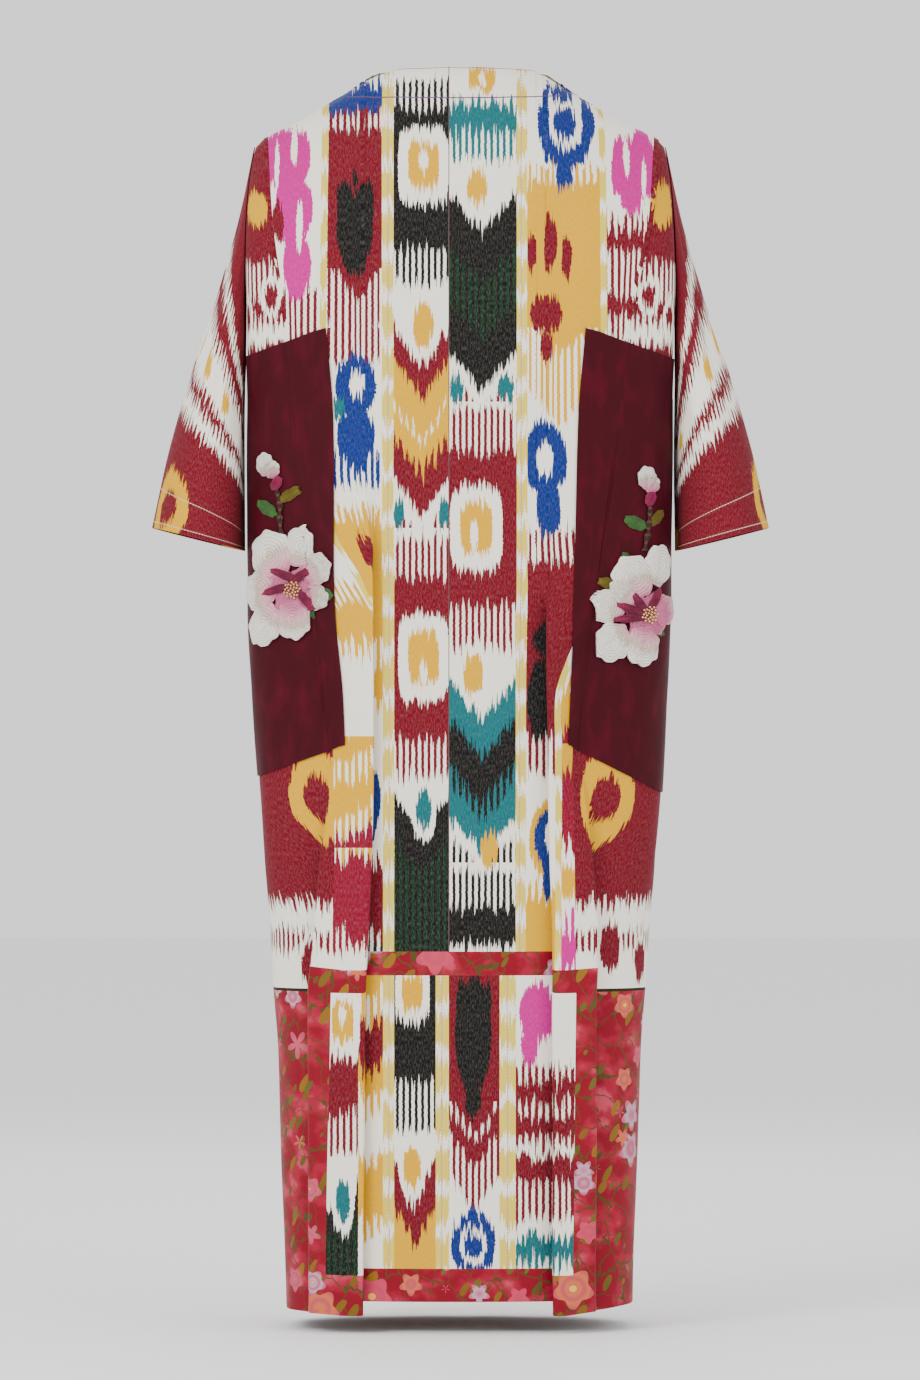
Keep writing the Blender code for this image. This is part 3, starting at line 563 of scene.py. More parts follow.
def add_mesh(name, points, faces, uvs, material, slot, replaces=()):
    """Puts arrays into a mesh object that rides on the body."""
    mesh = bpy.data.meshes.new(name)
    sides = faces.shape[1]
    mesh.vertices.add(len(points))
    mesh.vertices.foreach_set("co", (points * MM).astype(np.float32).ravel())
    mesh.loops.add(faces.size)
    mesh.loops.foreach_set("vertex_index", faces.astype(np.int32).ravel())
    mesh.polygons.add(len(faces))
    mesh.polygons.foreach_set("loop_start", np.arange(0, faces.size, sides, dtype=np.int32))
    mesh.update(calc_edges=True)
    layer = mesh.uv_layers.new(name="Chart")
    layer.data.foreach_set("uv", uvs.astype(np.float32).ravel())
    mesh.validate()
    mesh.shade_smooth()
    mesh.set_sharp_from_angle(angle=math.radians(SMOOTH_ANGLE))
    mesh.materials.append(material)
    made = bpy.data.objects.new(name, mesh)
    bpy.context.scene.collection.objects.link(made)
    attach(made, "root")
    if replaces:
        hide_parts(*replaces)
    return made


def sleeve_tube(coarse, side):
    """Sleeve as a straight loft from the armhole to the cuff's oval, with a slight sway."""
    near, far = ring_place(side, COLUMN_NAMES["near_arm"]), ring_place(side, COLUMN_NAMES["far_arm"])
    keys = [(row, near) for row in range(UNDERARM + 1)]
    keys += [(UNDERARM, ring_place(side, COLUMN_NAMES["near_arm"] + step))
             for step in range(1, FLAT_STEPS)]
    keys += [(row, far) for row in range(UNDERARM, 0, -1)]
    hole = np.array([coarse[key] for key in keys])
    hole[0, 1] = 0.0
    closed = np.concatenate([hole, hole[:1]])
    run = np.concatenate([[0.0], np.cumsum(np.linalg.norm(np.diff(closed, axis=0), axis=1))])
    angle = 2 * math.pi * run[:-1] / run[-1]
    low = (hole[0, 2] - hole[:, 2]) / (hole[0, 2] - hole[:, 2].min())
    hole[:, 0] += side * (SLEEVE_START + SLEEVE_CLEAR * low ** 3)
    outer, inner = (np.array([side * CUFF[side][end][0], 0.0, CUFF[side][end][1]])
                    for end in ("outer", "inner"))
    centre = (outer + inner) / 2
    swing = np.cos(angle)[:, None] * (outer - centre)
    depth = np.sign(np.sin(angle)) * np.abs(np.sin(angle)) ** CUFF_ROUNDNESS * CUFF_HALF_DEPTH
    cuff = centre + swing - depth[:, None] * np.array([0.0, 1.0, 0.0])
    rings = []
    for fraction in SLEEVE_FRACTIONS:
        ring = hole * (1 - fraction) + cuff * fraction
        sway = SLEEVE_SWAY * math.sin(2 * math.pi * fraction) * np.maximum(0.0, np.cos(angle))
        ring[:, 0] -= side * sway
        rings.append(ring)
    return np.array(rings)


def tube_facing(points):
    """Outward direction on a closed tube, from the central differences of its grid."""
    down = np.gradient(points, axis=0)
    around = np.roll(points, -1, axis=1) - np.roll(points, 1, axis=1)
    facing = np.cross(around, down)
    return facing / np.linalg.norm(facing, axis=2, keepdims=True)


# Dyes and prints, as linear colours
DYES = {
    "white": (0.84, 0.79, 0.69),
    "maroon": (0.135, 0.0, 0.009),
    "crimson": (0.19, 0.0, 0.018),
    "yellow": (0.62, 0.32, 0.0),
    "pale": (0.66, 0.50, 0.06),
    "black": (0.003, 0.003, 0.003),
    "green": (0.0, 0.021, 0.006),
    "teal": (0.0, 0.105, 0.12),
    "blue": (0.001, 0.018, 0.15),
    "magenta": (0.48, 0.0, 0.21),
}

# Back panel: strips of the warp. Each has its edges on the chart, where the dye changes
# between the teeth and on the teeth, and stretches whose edges run in a chevron
UPPER_STRIPS = (
    {"edges": (150, 322),
     "plain": ((60, "white"), (300, "white"), (345, "maroon"), (372, "white"), (560, "white"),
               (600, "yellow"), (640, "white"), (756, "yellow"), (782, "white"), (803, "yellow"),
               (838, "white"), (858, "crimson"), (945, "white")),
     "teeth": ((60, "white"), (290, "maroon"), (395, "white"), (585, "yellow"), (655, "white"),
               (742, "yellow"), (795, "white"), (798, "yellow"), (850, "crimson"), (925, "white")),
     "chevron": ((60, 0), (735, 1), (845, 0))},
    {"edges": (328, 384),
     "plain": ((60, "white"), (88, "blue"), (118, "white"), (130, "maroon"), (305, "white"),
               (520, "yellow"), (640, "white"), (665, "yellow"), (700, "white"),
               (862, "maroon"), (935, "black")),
     "teeth": ((60, "white"), (78, "blue"), (112, "maroon"), (362, "white"), (452, "blue"),
               (486, "white"), (505, "yellow"), (712, "white"), (848, "maroon"), (930, "white")),
     "chevron": ((60, 0), (270, 1), (330, 0))},
    {"edges": (395, 449),
     "plain": ((60, "white"), (112, "black"), (252, "white"), (368, "maroon"), (398, "yellow"),
               (440, "white"), (446, "yellow"), (470, "maroon"), (516, "white"), (575, "maroon"),
               (738, "white"), (828, "black"), (868, "green"), (905, "green")),
     "teeth": ((60, "white"), (85, "black"), (290, "white"), (368, "maroon"), (398, "yellow"),
               (482, "maroon"), (516, "white"), (540, "maroon"), (775, "white"), (828, "black")),
     "chevron": ((60, 0), (318, 1), (528, 0), (785, 1))},
    {"edges": (449, 515),
     "plain": ((60, "white"), (108, "teal"), (135, "white"), (235, "black"), (285, "green"),
               (345, "black"), (393, "white"), (452, "maroon"), (605, "white"), (715, "teal"),
               (755, "black"), (800, "teal"), (850, "white"), (903, "black"), (938, "white")),
     "teeth": ((60, "white"), (104, "teal"), (165, "white"), (235, "black"), (285, "black"),
               (393, "white"), (410, "maroon"), (650, "white"), (715, "teal"), (752, "black"),
               (820, "teal"), (850, "white"), (866, "black"), (942, "white")),
     "chevron": ((60, 0), (172, 1), (405, 0), (655, 1), (858, 0))},
    {"edges": (525, 598),
     "plain": ((60, "white"), (188, "yellow"), (355, "white"), (560, "maroon"), (732, "white"),
               (895, "yellow")),
     "teeth": ((60, "white"), (168, "yellow"), (428, "white"), (528, "maroon"), (772, "white"),
               (880, "yellow")),
     "chevron": ((60, 0), (330, 1), (432, 0))},
    {"edges": (604, 780),
     "plain": ((60, "white"), (236, "maroon"), (252, "white"), (300, "maroon"), (314, "white"),
               (548, "yellow"), (590, "white"), (640, "yellow"), (690, "white"), (724, "yellow"),
               (766, "crimson"), (840, "white"), (866, "yellow"), (890, "white"), (930, "magenta")),
     "teeth": ((60, "white"), (220, "maroon"), (344, "white"), (540, "yellow"), (762, "crimson"),
               (850, "white"), (862, "yellow"), (893, "white"), (908, "magenta"), (962, "white")),
     "chevron": ((60, 0), (530, 1), (740, 0))},
)
# Figures over the strips: centre, half width, half height, squareness and its rings inwards
UPPER_FIGURES = (
    (424, 171, 25, 38, 4, ("white", "yellow")),
    (424, 166, 5, 10, 2, ("white",)),
    (424, 330, 17, 38, 2, ("white", "yellow")),
    (400, 515, 5, 15, 2, ("teal",)),
    (444, 515, 5, 15, 2, ("teal",)),
    (424, 658, 25, 44, 4, ("white", "yellow")),
    (424, 672, 4, 12, 2, ("white",)),
    (424, 808, 13, 30, 2, ("white", "teal")),
    (482, 84, 22, 21, 4, ("white", "yellow")),
    (482, 84, 4, 7, 2, ("white",)),
    (477, 193, 17, 28, 2, ("white", "yellow")),
    (457, 392, 7, 14, 2, ("teal",)),
    (505, 392, 8, 14, 2, ("teal",)),
    (476, 530, 26, 42, 4, ("white", "yellow")),
    (474, 540, 4, 14, 2, ("white",)),
    (473, 675, 16, 32, 2, ("white", "yellow")),
    (489, 848, 9, 16, 2, ("yellow",)),
    (288, 160, 24, 30, 3, ("magenta",)),
    (296, 214, 19, 34, 2, ("magenta",)),
    (300, 270, 14, 34, 2, ("magenta",)),
    (280, 168, 3, 22, 2, ("white",)),
    (297, 150, 3, 20, 2, ("white",)),
    (303, 232, 3, 24, 2, ("white",)),
    (281, 226, 7, 20, 2, ("maroon",)),
    (355, 232, 19, 48, 2, ("black",)),
    (342, 205, 6, 18, 2, ("black",)),
    (370, 205, 6, 18, 2, ("black",)),
    (355, 186, 6, 14, 2, ("maroon", "black")),
    (357, 388, 21, 30, 2, ("blue", "blue", "blue", "white")),
    (357, 440, 19, 30, 2, ("blue",)),
    (340, 412, 5, 12, 2, ("teal",)),
    (366, 798, 16, 42, 2, ("blue", "blue", "white")),
    (352, 560, 10, 22, 2, ("maroon",)),
    (566, 128, 29, 46, 2, ("blue", "blue", "white", "blue")),
    (552, 108, 4, 12, 2, ("white",)),
    (580, 108, 4, 12, 2, ("white",)),
    (566, 182, 9, 12, 2, ("blue",)),
    (530, 258, 5, 20, 2, ("maroon",)),
    (551, 248, 8, 26, 2, ("maroon",)),
    (568, 262, 5, 20, 2, ("maroon",)),
    (546, 318, 18, 20, 2, ("maroon",)),
    (546, 352, 7, 14, 2, ("maroon",)),
    (544, 462, 23, 38, 2, ("blue", "blue", "blue", "white")),
    (548, 512, 13, 28, 2, ("blue",)),
    (546, 640, 16, 18, 2, ("black",)),
    (540, 700, 14, 40, 2, ("black",)),
    (552, 838, 24, 44, 2, ("yellow", "blue", "blue", "white")),
    (552, 880, 12, 20, 2, ("blue",)),
    (632, 172, 23, 34, 3, ("magenta",)),
    (623, 160, 3, 20, 2, ("white",)),
    (641, 184, 3, 18, 2, ("white",)),
    (628, 205, 10, 16, 2, ("magenta",)),
    (641, 138, 8, 12, 2, ("magenta",)),
    (300, 895, 15, 46, 2, ("crimson",)),
)
UPPER_BORDERS = (322, 328, 384, 395, 515, 525, 598, 604)

SKIRT_STRIPS = (
    {"edges": (200, 300),
     "plain": ((950, "white"), (1055, "maroon"), (1108, "white"), (1222, "black"), (1245, "green")),
     "teeth": ((950, "white"), (1050, "maroon"), (1150, "white"), (1216, "black")),
     "chevron": ((950, 0), (1150, 1))},
    {"edges": (300, 384),
     "plain": ((950, "white"), (990, "yellow"), (1020, "white"), (1046, "maroon"), (1090, "yellow"),
               (1120, "white"), (1190, "yellow"), (1240, "white")),
     "teeth": ((950, "white"), (980, "yellow"), (1052, "maroon"), (1102, "yellow"), (1135, "white"),
               (1178, "yellow"), (1262, "white")),
     "chevron": ((950, 1), (1270, 1))},
    {"edges": (395, 436),
     "plain": ((950, "black"), (1075, "white"), (1190, "maroon"), (1238, "yellow")),
     "teeth": ((950, "black"), (1125, "white"), (1190, "maroon"), (1238, "yellow")),
     "chevron": ((950, 0), (1130, 1))},
    {"edges": (449, 499),
     "plain": ((950, "maroon"), (1128, "white"), (1140, "maroon"), (1162, "white")),
     "teeth": ((950, "maroon"), (1205, "white")),
     "chevron": ((950, 0), (1095, 1))},
    {"edges": (515, 720),
     "plain": ((950, "white"), (1075, "maroon"), (1095, "white"), (1112, "maroon"), (1130, "white"),
               (1150, "maroon"), (1175, "white"), (1230, "teal"), (1250, "white")),
     "teeth": ((950, "white"), (1060, "maroon"), (1140, "white"), (1148, "maroon"), (1212, "white"),
               (1225, "teal"), (1262, "white")),
     "chevron": ((950, 0), (1270, 0))},
)
SKIRT_FIGURES = (
    (285, 1018, 17, 34, 4, ("white", "yellow")),
    (285, 1012, 4, 10, 2, ("white",)),
    (285, 1195, 11, 34, 2, ("white", "teal")),
    (413, 988, 17, 30, 4, ("white", "yellow")),
    (413, 1162, 14, 32, 2, ("white", "yellow")),
    (473, 1030, 18, 58, 2, ("black",)),
    (461, 998, 5, 18, 2, ("black",)),
    (486, 998, 5, 18, 2, ("black",)),
    (473, 1096, 8, 16, 2, ("black",)),
    (473, 1238, 22, 32, 2, ("blue", "blue", "white", "blue")),
    (473, 1208, 5, 10, 2, ("blue",)),
    (535, 1010, 17, 30, 2, ("magenta",)),
    (528, 1045, 8, 16, 2, ("magenta",)),
    (350, 1020, 12, 26, 2, ("yellow",)),
)
SKIRT_BORDERS = (384, 395, 436, 449, 499, 515)

# Maroon ikat of the side panels and of the sleeves
SIDE_STRIPS = (
    {"edges": (-400, 1400),
     "plain": ((60, "maroon"), (262, "white"), (300, "maroon"), (318, "white"), (350, "maroon"),
               (880, "maroon"), (902, "white"), (925, "maroon"), (945, "white")),
     "teeth": ((60, "maroon"), (330, "white"), (346, "maroon"), (895, "white")),
     "chevron": ((60, 0), (1000, 0))},
)
SIDE_FIGURES = (
    (258, 798, 30, 48, 2, ("yellow", "yellow", "maroon")),
    (652, 798, 30, 48, 2, ("yellow", "yellow", "maroon")),
    (245, 945, 15, 32, 2, ("white", "maroon", "maroon")),
    (205, 960, 14, 28, 2, ("white", "maroon", "maroon")),
    (690, 945, 15, 32, 2, ("white", "maroon", "maroon")),
    (730, 960, 14, 28, 2, ("white", "maroon", "maroon")),
    (255, 212, 14, 18, 2, ("yellow",)),
    (663, 208, 14, 22, 2, ("yellow",)),
    (272, 300, 12, 20, 2, ("white", "maroon")),
    (648, 300, 12, 20, 2, ("white", "maroon")),
    (240, 320, 10, 20, 2, ("white", "maroon")),
    (674, 320, 10, 20, 2, ("white", "maroon")),
)
SLEEVE_STRIPS = (
    {"edges": (-400, 1400),
     "plain": ((60, "maroon"), (278, "white"), (300, "maroon"), (330, "white"), (352, "white"),
               (392, "maroon"), (402, "white"), (432, "maroon")),
     "teeth": ((60, "maroon"), (292, "white"), (306, "maroon"), (345, "white"), (385, "maroon"),
               (412, "white"), (424, "maroon")),
     "chevron": ((60, 0), (600, 0))},
)
SLEEVE_FIGURES = (
    (8, 215, 20, 26, 2, ("yellow",)),
    (72, 520, 30, 40, 2, ("yellow", "yellow", "maroon")),
    (250, 520, 30, 40, 2, ("yellow", "yellow", "maroon")),
    (40, 366, 7, 14, 2, ("yellow",)),
    (82, 366, 7, 14, 2, ("yellow",)),
    (124, 366, 7, 14, 2, ("yellow",)),
    (200, 366, 7, 14, 2, ("yellow",)),
    (240, 366, 7, 14, 2, ("yellow",)),
)


class Value:
    """A number on a socket; Python's operators add the Math nodes that work them out."""

    def __init__(self, finish, socket):
        self.finish = finish
        self.socket = socket

    def math(self, operation, *others):
        """A Math node on this value and others."""
        node = self.finish.node("ShaderNodeMath", {"operation": operation}, [self, *others])
        return Value(self.finish, node.outputs[0])

    def __add__(self, other):
        return self.math("ADD", other)

    def __sub__(self, other):
        return self.math("SUBTRACT", other)

    def __mul__(self, other):
        return self.math("MULTIPLY", other)

    def __truediv__(self, other):
        return self.math("DIVIDE", other)

    def __gt__(self, other):
        return self.math("GREATER_THAN", other)

    def __lt__(self, other):
        return self.math("LESS_THAN", other)

    __radd__ = __add__

    def size(self):
        """Value without its sign."""
        return self.math("ABSOLUTE")

    def sine(self):
        """Sine of the value in radians."""
        return self.math("SINE")

    def power(self, exponent):
        """Value raised to an exponent."""
        return self.math("POWER", exponent)

    def repeat(self, length):
        """Value counted again from 0 after each length."""
        return self.math("FLOORED_MODULO", length)


class Finish:
    """One procedural material, built from expressions on the cloth's chart."""

    def __init__(self, name, roughness=0.6, sheen=0.0, specular=0.3):
        self.material = bpy.data.materials.new(name)
        self.material.use_nodes = True
        self.tree = self.material.node_tree
        self.shader = self.tree.nodes["Principled BSDF"]
        for socket, value in (("Roughness", roughness), ("Specular IOR Level", specular),
                              ("Sheen Weight", sheen), ("Sheen Roughness", 0.5)):
            self.shader.inputs[socket].default_value = value

    def node(self, kind, settings=None, inputs=()):
        """A node of a type, with its settings first, then the values or links of its sockets."""
        made = self.tree.nodes.new(kind)
        for key, value in (settings or {}).items():
            setattr(made, key, value)
        pairs = inputs.items() if isinstance(inputs, dict) else enumerate(inputs)
        for key, value in pairs:
            self.feed(made.inputs[key], value)
        return made

    def feed(self, socket, value):
        """Links a value to a socket, or sets the socket to it."""
        if isinstance(value, Value):
            value = value.socket
        if isinstance(value, bpy.types.NodeSocket):
            self.tree.links.new(value, socket)
        elif isinstance(value, tuple) and len(value) == 3 and socket.type == "RGBA":
            socket.default_value = (*value, 1.0)
        else:
            socket.default_value = value

    def chart(self):
        """U and V of the cloth's chart."""
        uv = self.node("ShaderNodeUVMap", {"uv_map": "Chart"})
        return self.parts(uv.outputs[0])

    def parts(self, place):
        """First two coordinates of a vector."""
        split = self.node("ShaderNodeSeparateXYZ", inputs=[place])
        return Value(self, split.outputs[0]), Value(self, split.outputs[1])

    def channel(self, colour):
        """Red part of a colour, which is a cell's own random number."""
        split = self.node("ShaderNodeSeparateColor", inputs=[colour])
        return Value(self, split.outputs[0])

    def vector(self, x, y):
        """A vector in the plane of the chart."""
        return self.node("ShaderNodeCombineXYZ", inputs=[x, y, 0.0]).outputs[0]

    def noise(self, place, scale=1.0, detail=2.0, rough=0.5):
        """Cloudy noise from 0 to 1."""
        made = self.node("ShaderNodeTexNoise", inputs={"Vector": place, "Scale": scale,
                                                       "Detail": detail, "Roughness": rough})
        return Value(self, made.outputs[0])

    def cells(self, place, scale, random=1.0, feature="F1"):
        """Voronoi cells, one to each unit of the scaled place."""
        return self.node("ShaderNodeTexVoronoi", {"feature": feature},
                         {"Vector": place, "Scale": scale, "Randomness": random})

    def mix(self, part, first, second):
        """Colour between two others: the second where the part is 1."""
        made = self.node("ShaderNodeMix", {"data_type": "RGBA"}, {0: part, 6: first, 7: second})
        return made.outputs[2]

    def ramp(self, part, stops, smooth="CONSTANT"):
        """Colour picked by a value from stops of place and colour."""
        made = self.node("ShaderNodeValToRGB", inputs=[part])
        ramp = made.color_ramp
        ramp.interpolation = smooth
        for place, (position, colour) in enumerate(stops):
            stop = ramp.elements[place] if place < 2 else ramp.elements.new(position)
            stop.position = position
            stop.color = (*colour, 1.0)
        return made.outputs[0]

    def bump(self, height, distance, strength):
        """Normal bent by a height."""
        inputs = {"Height": height, "Distance": distance, "Strength": strength}
        return self.node("ShaderNodeBump", inputs=inputs).outputs["Normal"]

    def finish(self, colour, normal=None):
        """Feeds the shader and gives the material."""
        self.feed(self.shader.inputs["Base Color"], colour)
        if normal is not None:
            self.feed(self.shader.inputs["Normal"], normal)
        return self.material


# Warp ikat, in squares of the chart: width of a tooth and its share, rise of a chevron, and
# the strips that are so wide that their chevrons repeat, with how often
TOOTH = 6.2
TOOTH_LEVEL = 0.05
CHEVRON = 38.0
WIDE_STRIP = 100.0
WIDE_REPEAT = 58.0
# Runs of the dye along the warp: scale across and down, detail, roughness and reach
FEATHER = (
    (1.9, 0.012, 3.0, 0.8, 18.0),
    (0.42, 0.016, 2.0, 0.7, 54.0),
    (0.14, 0.05, 2.0, 0.5, 9.0),
)
FIGURE_FEATHER = 0.9
RING_SHARE = 0.78
BORDER_REPEAT = 44.0
BORDER_DASH = 30.0
WORN_WHITE = (0.80, 0.72, 0.62)
# Sewing lines: colours and the length of a stitch with its gap, in squares
PLUM_SEWING = (0.30, 0.16, 0.32)
PALE_SEWING = (0.55, 0.45, 0.35)
STITCH = 3.4
STITCH_GAP = 0.9
# Neck facing: middle, half width, height at the middle and rise to the ends, in squares
FACING = {"middle": 455.0, "half": 111.0, "v": 103.0, "span": 110.0, "rise": 4.0}


def ikat_finish(name, strips, figures, borders, low, high):
    """Warp ikat: dyed strips with feathered ends, teeth, chevrons and figures over them.

    A strip's dye is picked at v + feather + lean times the distance from its middle. A figure
    is where the root of order p of |x|^p + |y|^p is under 1, with rings of dye inside it.
    """
    made = Finish(name, roughness=0.75, sheen=0.02, specular=0.1)
    u, v = made.chart()
    runs = [(made.noise(made.vector(u * wide, v * tall), detail=detail, rough=rough) - 0.5) * reach
            for wide, tall, detail, rough, reach in FEATHER]
    feather = runs[0] + runs[1] + runs[2]
    side = made.noise(made.vector(u * 0.03, v * 0.35), detail=2.0) - 0.5
    tooth = ((u + side * 1.6) * (2 * math.pi / TOOTH)).sine() > TOOTH_LEVEL
    colour = None
    for strip in strips:
        left, right = strip["edges"]
        middle, half = (left + right) / 2, (right - left) / 2
        if half > WIDE_STRIP:
            across = ((u.repeat(WIDE_REPEAT) - WIDE_REPEAT / 2) / (WIDE_REPEAT / 2)).size()
        else:
            across = ((u - middle) / half).size()
        slope = made.ramp((v - low) / (high - low),
                          [((place - low) / (high - low), (on, on, on))
                           for place, on in strip["chevron"]])
        lean = Value(made, slope) * CHEVRON
        place = (v + feather + lean * across - low) / (high - low)
        plain, teeth = (made.ramp(place, [((at - low) / (high - low), DYES[dye])
                                          for at, dye in strip[key]]) for key in ("plain", "teeth"))
        dyed = made.mix(tooth, plain, teeth)
        colour = dyed if colour is None else made.mix(u + side * 2.0 > left, colour, dyed)
    for across, down, wide, tall, power, rings in figures:
        x = ((u + side * 3.0 - across) / wide).size()
        y = ((v + feather * FIGURE_FEATHER - down) / tall).size()
        away = (x.power(power) + y.power(power)).power(1 / power)
        for ring, dye in enumerate(rings):
            inside = away < 1.0 - ring / len(rings) * RING_SHARE
            colour = made.mix(inside, colour, DYES[dye])
    for left, right in zip(borders[::2], borders[1::2]):
        dash = (v + feather).repeat(BORDER_REPEAT) > BORDER_DASH
        striped = made.mix(dash, DYES["pale"], DYES["white"])
        colour = made.mix((u > left) * (u < right), colour, striped)
    worn = made.noise(made.vector(u * 0.9, v * 0.22), detail=4.0, rough=0.7)
    colour = made.mix((worn - 0.46) * 0.28, colour, WORN_WHITE)
    slub = made.noise(made.vector(u * 3.2, v * 0.25), detail=2.0)
    weave = (u * 5.5).sine() * 0.25 + (v * 5.5).sine() * 0.25 + slub
    return made, colour, u, v, made.bump(weave, 0.0001, 0.3)


def stitch(made, colour, u, v, place, thick, tone):
    """Thin dashed sewing line where place, a value on the chart, is nearly zero."""
    dash = (u + v).repeat(STITCH) > STITCH_GAP
    return made.mix((place.size() < thick) * dash, colour, tone)


def upper_ikat():
    """Ikat of the centre panels, with the neck facing's line, neck edge, seam and stitches."""
    made, colour, u, v, normal = ikat_finish("ikat_upper", UPPER_STRIPS, UPPER_FIGURES,
                                             UPPER_BORDERS, 60.0, 1000.0)
    across = u - FACING["middle"]
    curve = v - FACING["v"] + (across / FACING["span"]).power(2.0) * FACING["rise"]
    inside = across.size() < FACING["half"]
    colour = made.mix(inside * (curve.size() < 0.6), colour, (0.10, 0.05, 0.12))
    colour = made.mix((v - 71.5).size() < 0.4, colour, (0.22, 0.10, 0.06))
    colour = made.mix((u - 449.0).size() < 0.45, colour, (0.10, 0.06, 0.06))
    for line in (390.0, 519.0):
        colour = stitch(made, colour, u, v, u - line, 0.4, PLUM_SEWING)
    return made.finish(colour, normal)


def skirt_ikat():
    """Ikat of the lower panels, with a stitched line beside each border."""
    made, colour, u, v, normal = ikat_finish("ikat_skirt", SKIRT_STRIPS, SKIRT_FIGURES,
                                             SKIRT_BORDERS, 950.0, 1290.0)
    for line in (390.0, 442.0, 507.0):
        colour = stitch(made, colour, u, v, u - line, 0.4, PLUM_SEWING)
    return made.finish(colour, normal)


def side_ikat():
    """Maroon ikat of the side panels, with the dark line of their hem."""
    made, colour, _, v, normal = ikat_finish("ikat_side", SIDE_STRIPS, SIDE_FIGURES, (), 60.0, 1000.0)
    return made.finish(made.mix(v > 985.5, colour, (0.02, 0.018, 0.008)), normal)


def sleeve_ikat():
    """Maroon ikat of the sleeves, with the two stitched lines of the cuff's hem."""
    made, colour, u, v, normal = ikat_finish("ikat_sleeve", SLEEVE_STRIPS, SLEEVE_FIGURES, (),
                                             60.0, 600.0)
    for line in (505.0, 536.0):
        colour = stitch(made, colour, u, v, v - line, 0.5, PALE_SEWING)
    return made.finish(colour, normal)


# Printed chiffon: ground, and leaves as scale, reach and two tones
CHIFFON_GROUND = ((0.0, (0.12, 0.0, 0.006)), (0.45, (0.21, 0.0, 0.011)),
                  (0.56, (0.30, 0.006, 0.026)), (0.68, (0.44, 0.045, 0.075)))
CHIFFON_LEAVES = (
    (0.058, 0.30, ((0.07, 0.055, 0.006), (0.24, 0.11, 0.008))),
    (0.074, 0.26, ((0.03, 0.03, 0.008), (0.12, 0.10, 0.012))),
)
# Blossoms of the print: scale and offset of each layer, and colours by the cell's own number
CHIFFON_BLOOMS = ((0.017, 11.0), (0.027, 57.0))
BLOOM_HUES = ((0.0, (0.52, 0.10, 0.14)), (0.5, (0.50, 0.40, 0.52)), (0.62, (0.60, 0.04, 0.08)),
              (0.76, (0.62, 0.18, 0.02)), (0.88, (0.60, 0.52, 0.52)))
BLOOM_SHARE = 0.42


def chiffon_finish():
    """Printed chiffon: crimson ground, pink clouds, leaves on stems and loose blossoms.

    A blossom is where the distance to its cell's middle is under 0.30 + 0.05 sin 5a.
    """
    made = Finish("flowered_chiffon", roughness=0.6, sheen=0.03, specular=0.15)
    u, v = made.chart()
    swirl = made.noise(made.vector(u * 0.05, v * 0.05), detail=3.0) * 26.0
    cloud = made.noise(made.vector(u * 0.03, v * 0.035), detail=3.0)
    colour = made.ramp(cloud, CHIFFON_GROUND, "EASE")
    stem = made.cells(made.vector(u + swirl, v * 0.8 + swirl), 0.045, feature="DISTANCE_TO_EDGE")
    colour = made.mix(Value(made, stem.outputs["Distance"]) < 0.022, colour, (0.07, 0.045, 0.008))
    for scale, grow, tones in CHIFFON_LEAVES:
        leaf = made.cells(made.vector(u + v * 0.6, (v - u * 0.5) * 0.45 + swirl * 0.3), scale)
        tone = made.channel(leaf.outputs["Color"])
        inside = (Value(made, leaf.outputs["Distance"]) < grow) * (tone > 0.3)
        colour = made.mix(inside, colour, made.mix(tone, *tones))
    for scale, push in CHIFFON_BLOOMS:
        spot = made.vector(u + push, v + push * 3.0)
        bloom = made.cells(spot, scale, 0.8)
        away = Value(made, bloom.outputs["Distance"])
        tone = made.channel(bloom.outputs["Color"])
        spin = made.node("ShaderNodeVectorMath", {"operation": "SUBTRACT"},
                         [spot, bloom.outputs["Position"]])
        across, down = made.parts(spin.outputs[0])
        edge = 0.30 + (down.math("ARCTAN2", across) * 5.0).sine() * 0.05
        vein = (away * 44.0).sine() * 0.25 + 0.6
        petal = made.mix(vein, made.ramp(tone, BLOOM_HUES), (0.42, 0.04, 0.09))
        shown = tone > BLOOM_SHARE
        colour = made.mix((away < edge) * shown, colour, petal)
        colour = made.mix((away < 0.06) * shown, colour, (0.75, 0.40, 0.06))
    weave = (u * 7.0).sine() + (v * 7.0).sine()
    return made.finish(colour, made.bump(weave, 0.0001, 0.4))


def sheer_finish():
    """Burgundy sheer: deep red, with the dyed cloth beneath only just showing."""
    made = Finish("burgundy_sheer", roughness=0.6, sheen=0.02, specular=0.1)
    u, v = made.chart()
    ghost = made.noise(made.vector(u * 0.07, v * 0.022), detail=3.0)
    colour = made.ramp(ghost, [(0.0, (0.032, 0.0, 0.003)), (0.48, (0.042, 0.0, 0.004)),
                               (0.62, (0.056, 0.0, 0.006)), (0.8, (0.072, 0.001, 0.009))], "EASE")
    weave = (u * 6.0).sine() + (v * 6.0).sine()
    return made.finish(colour, made.bump(weave, 0.0001, 0.5))
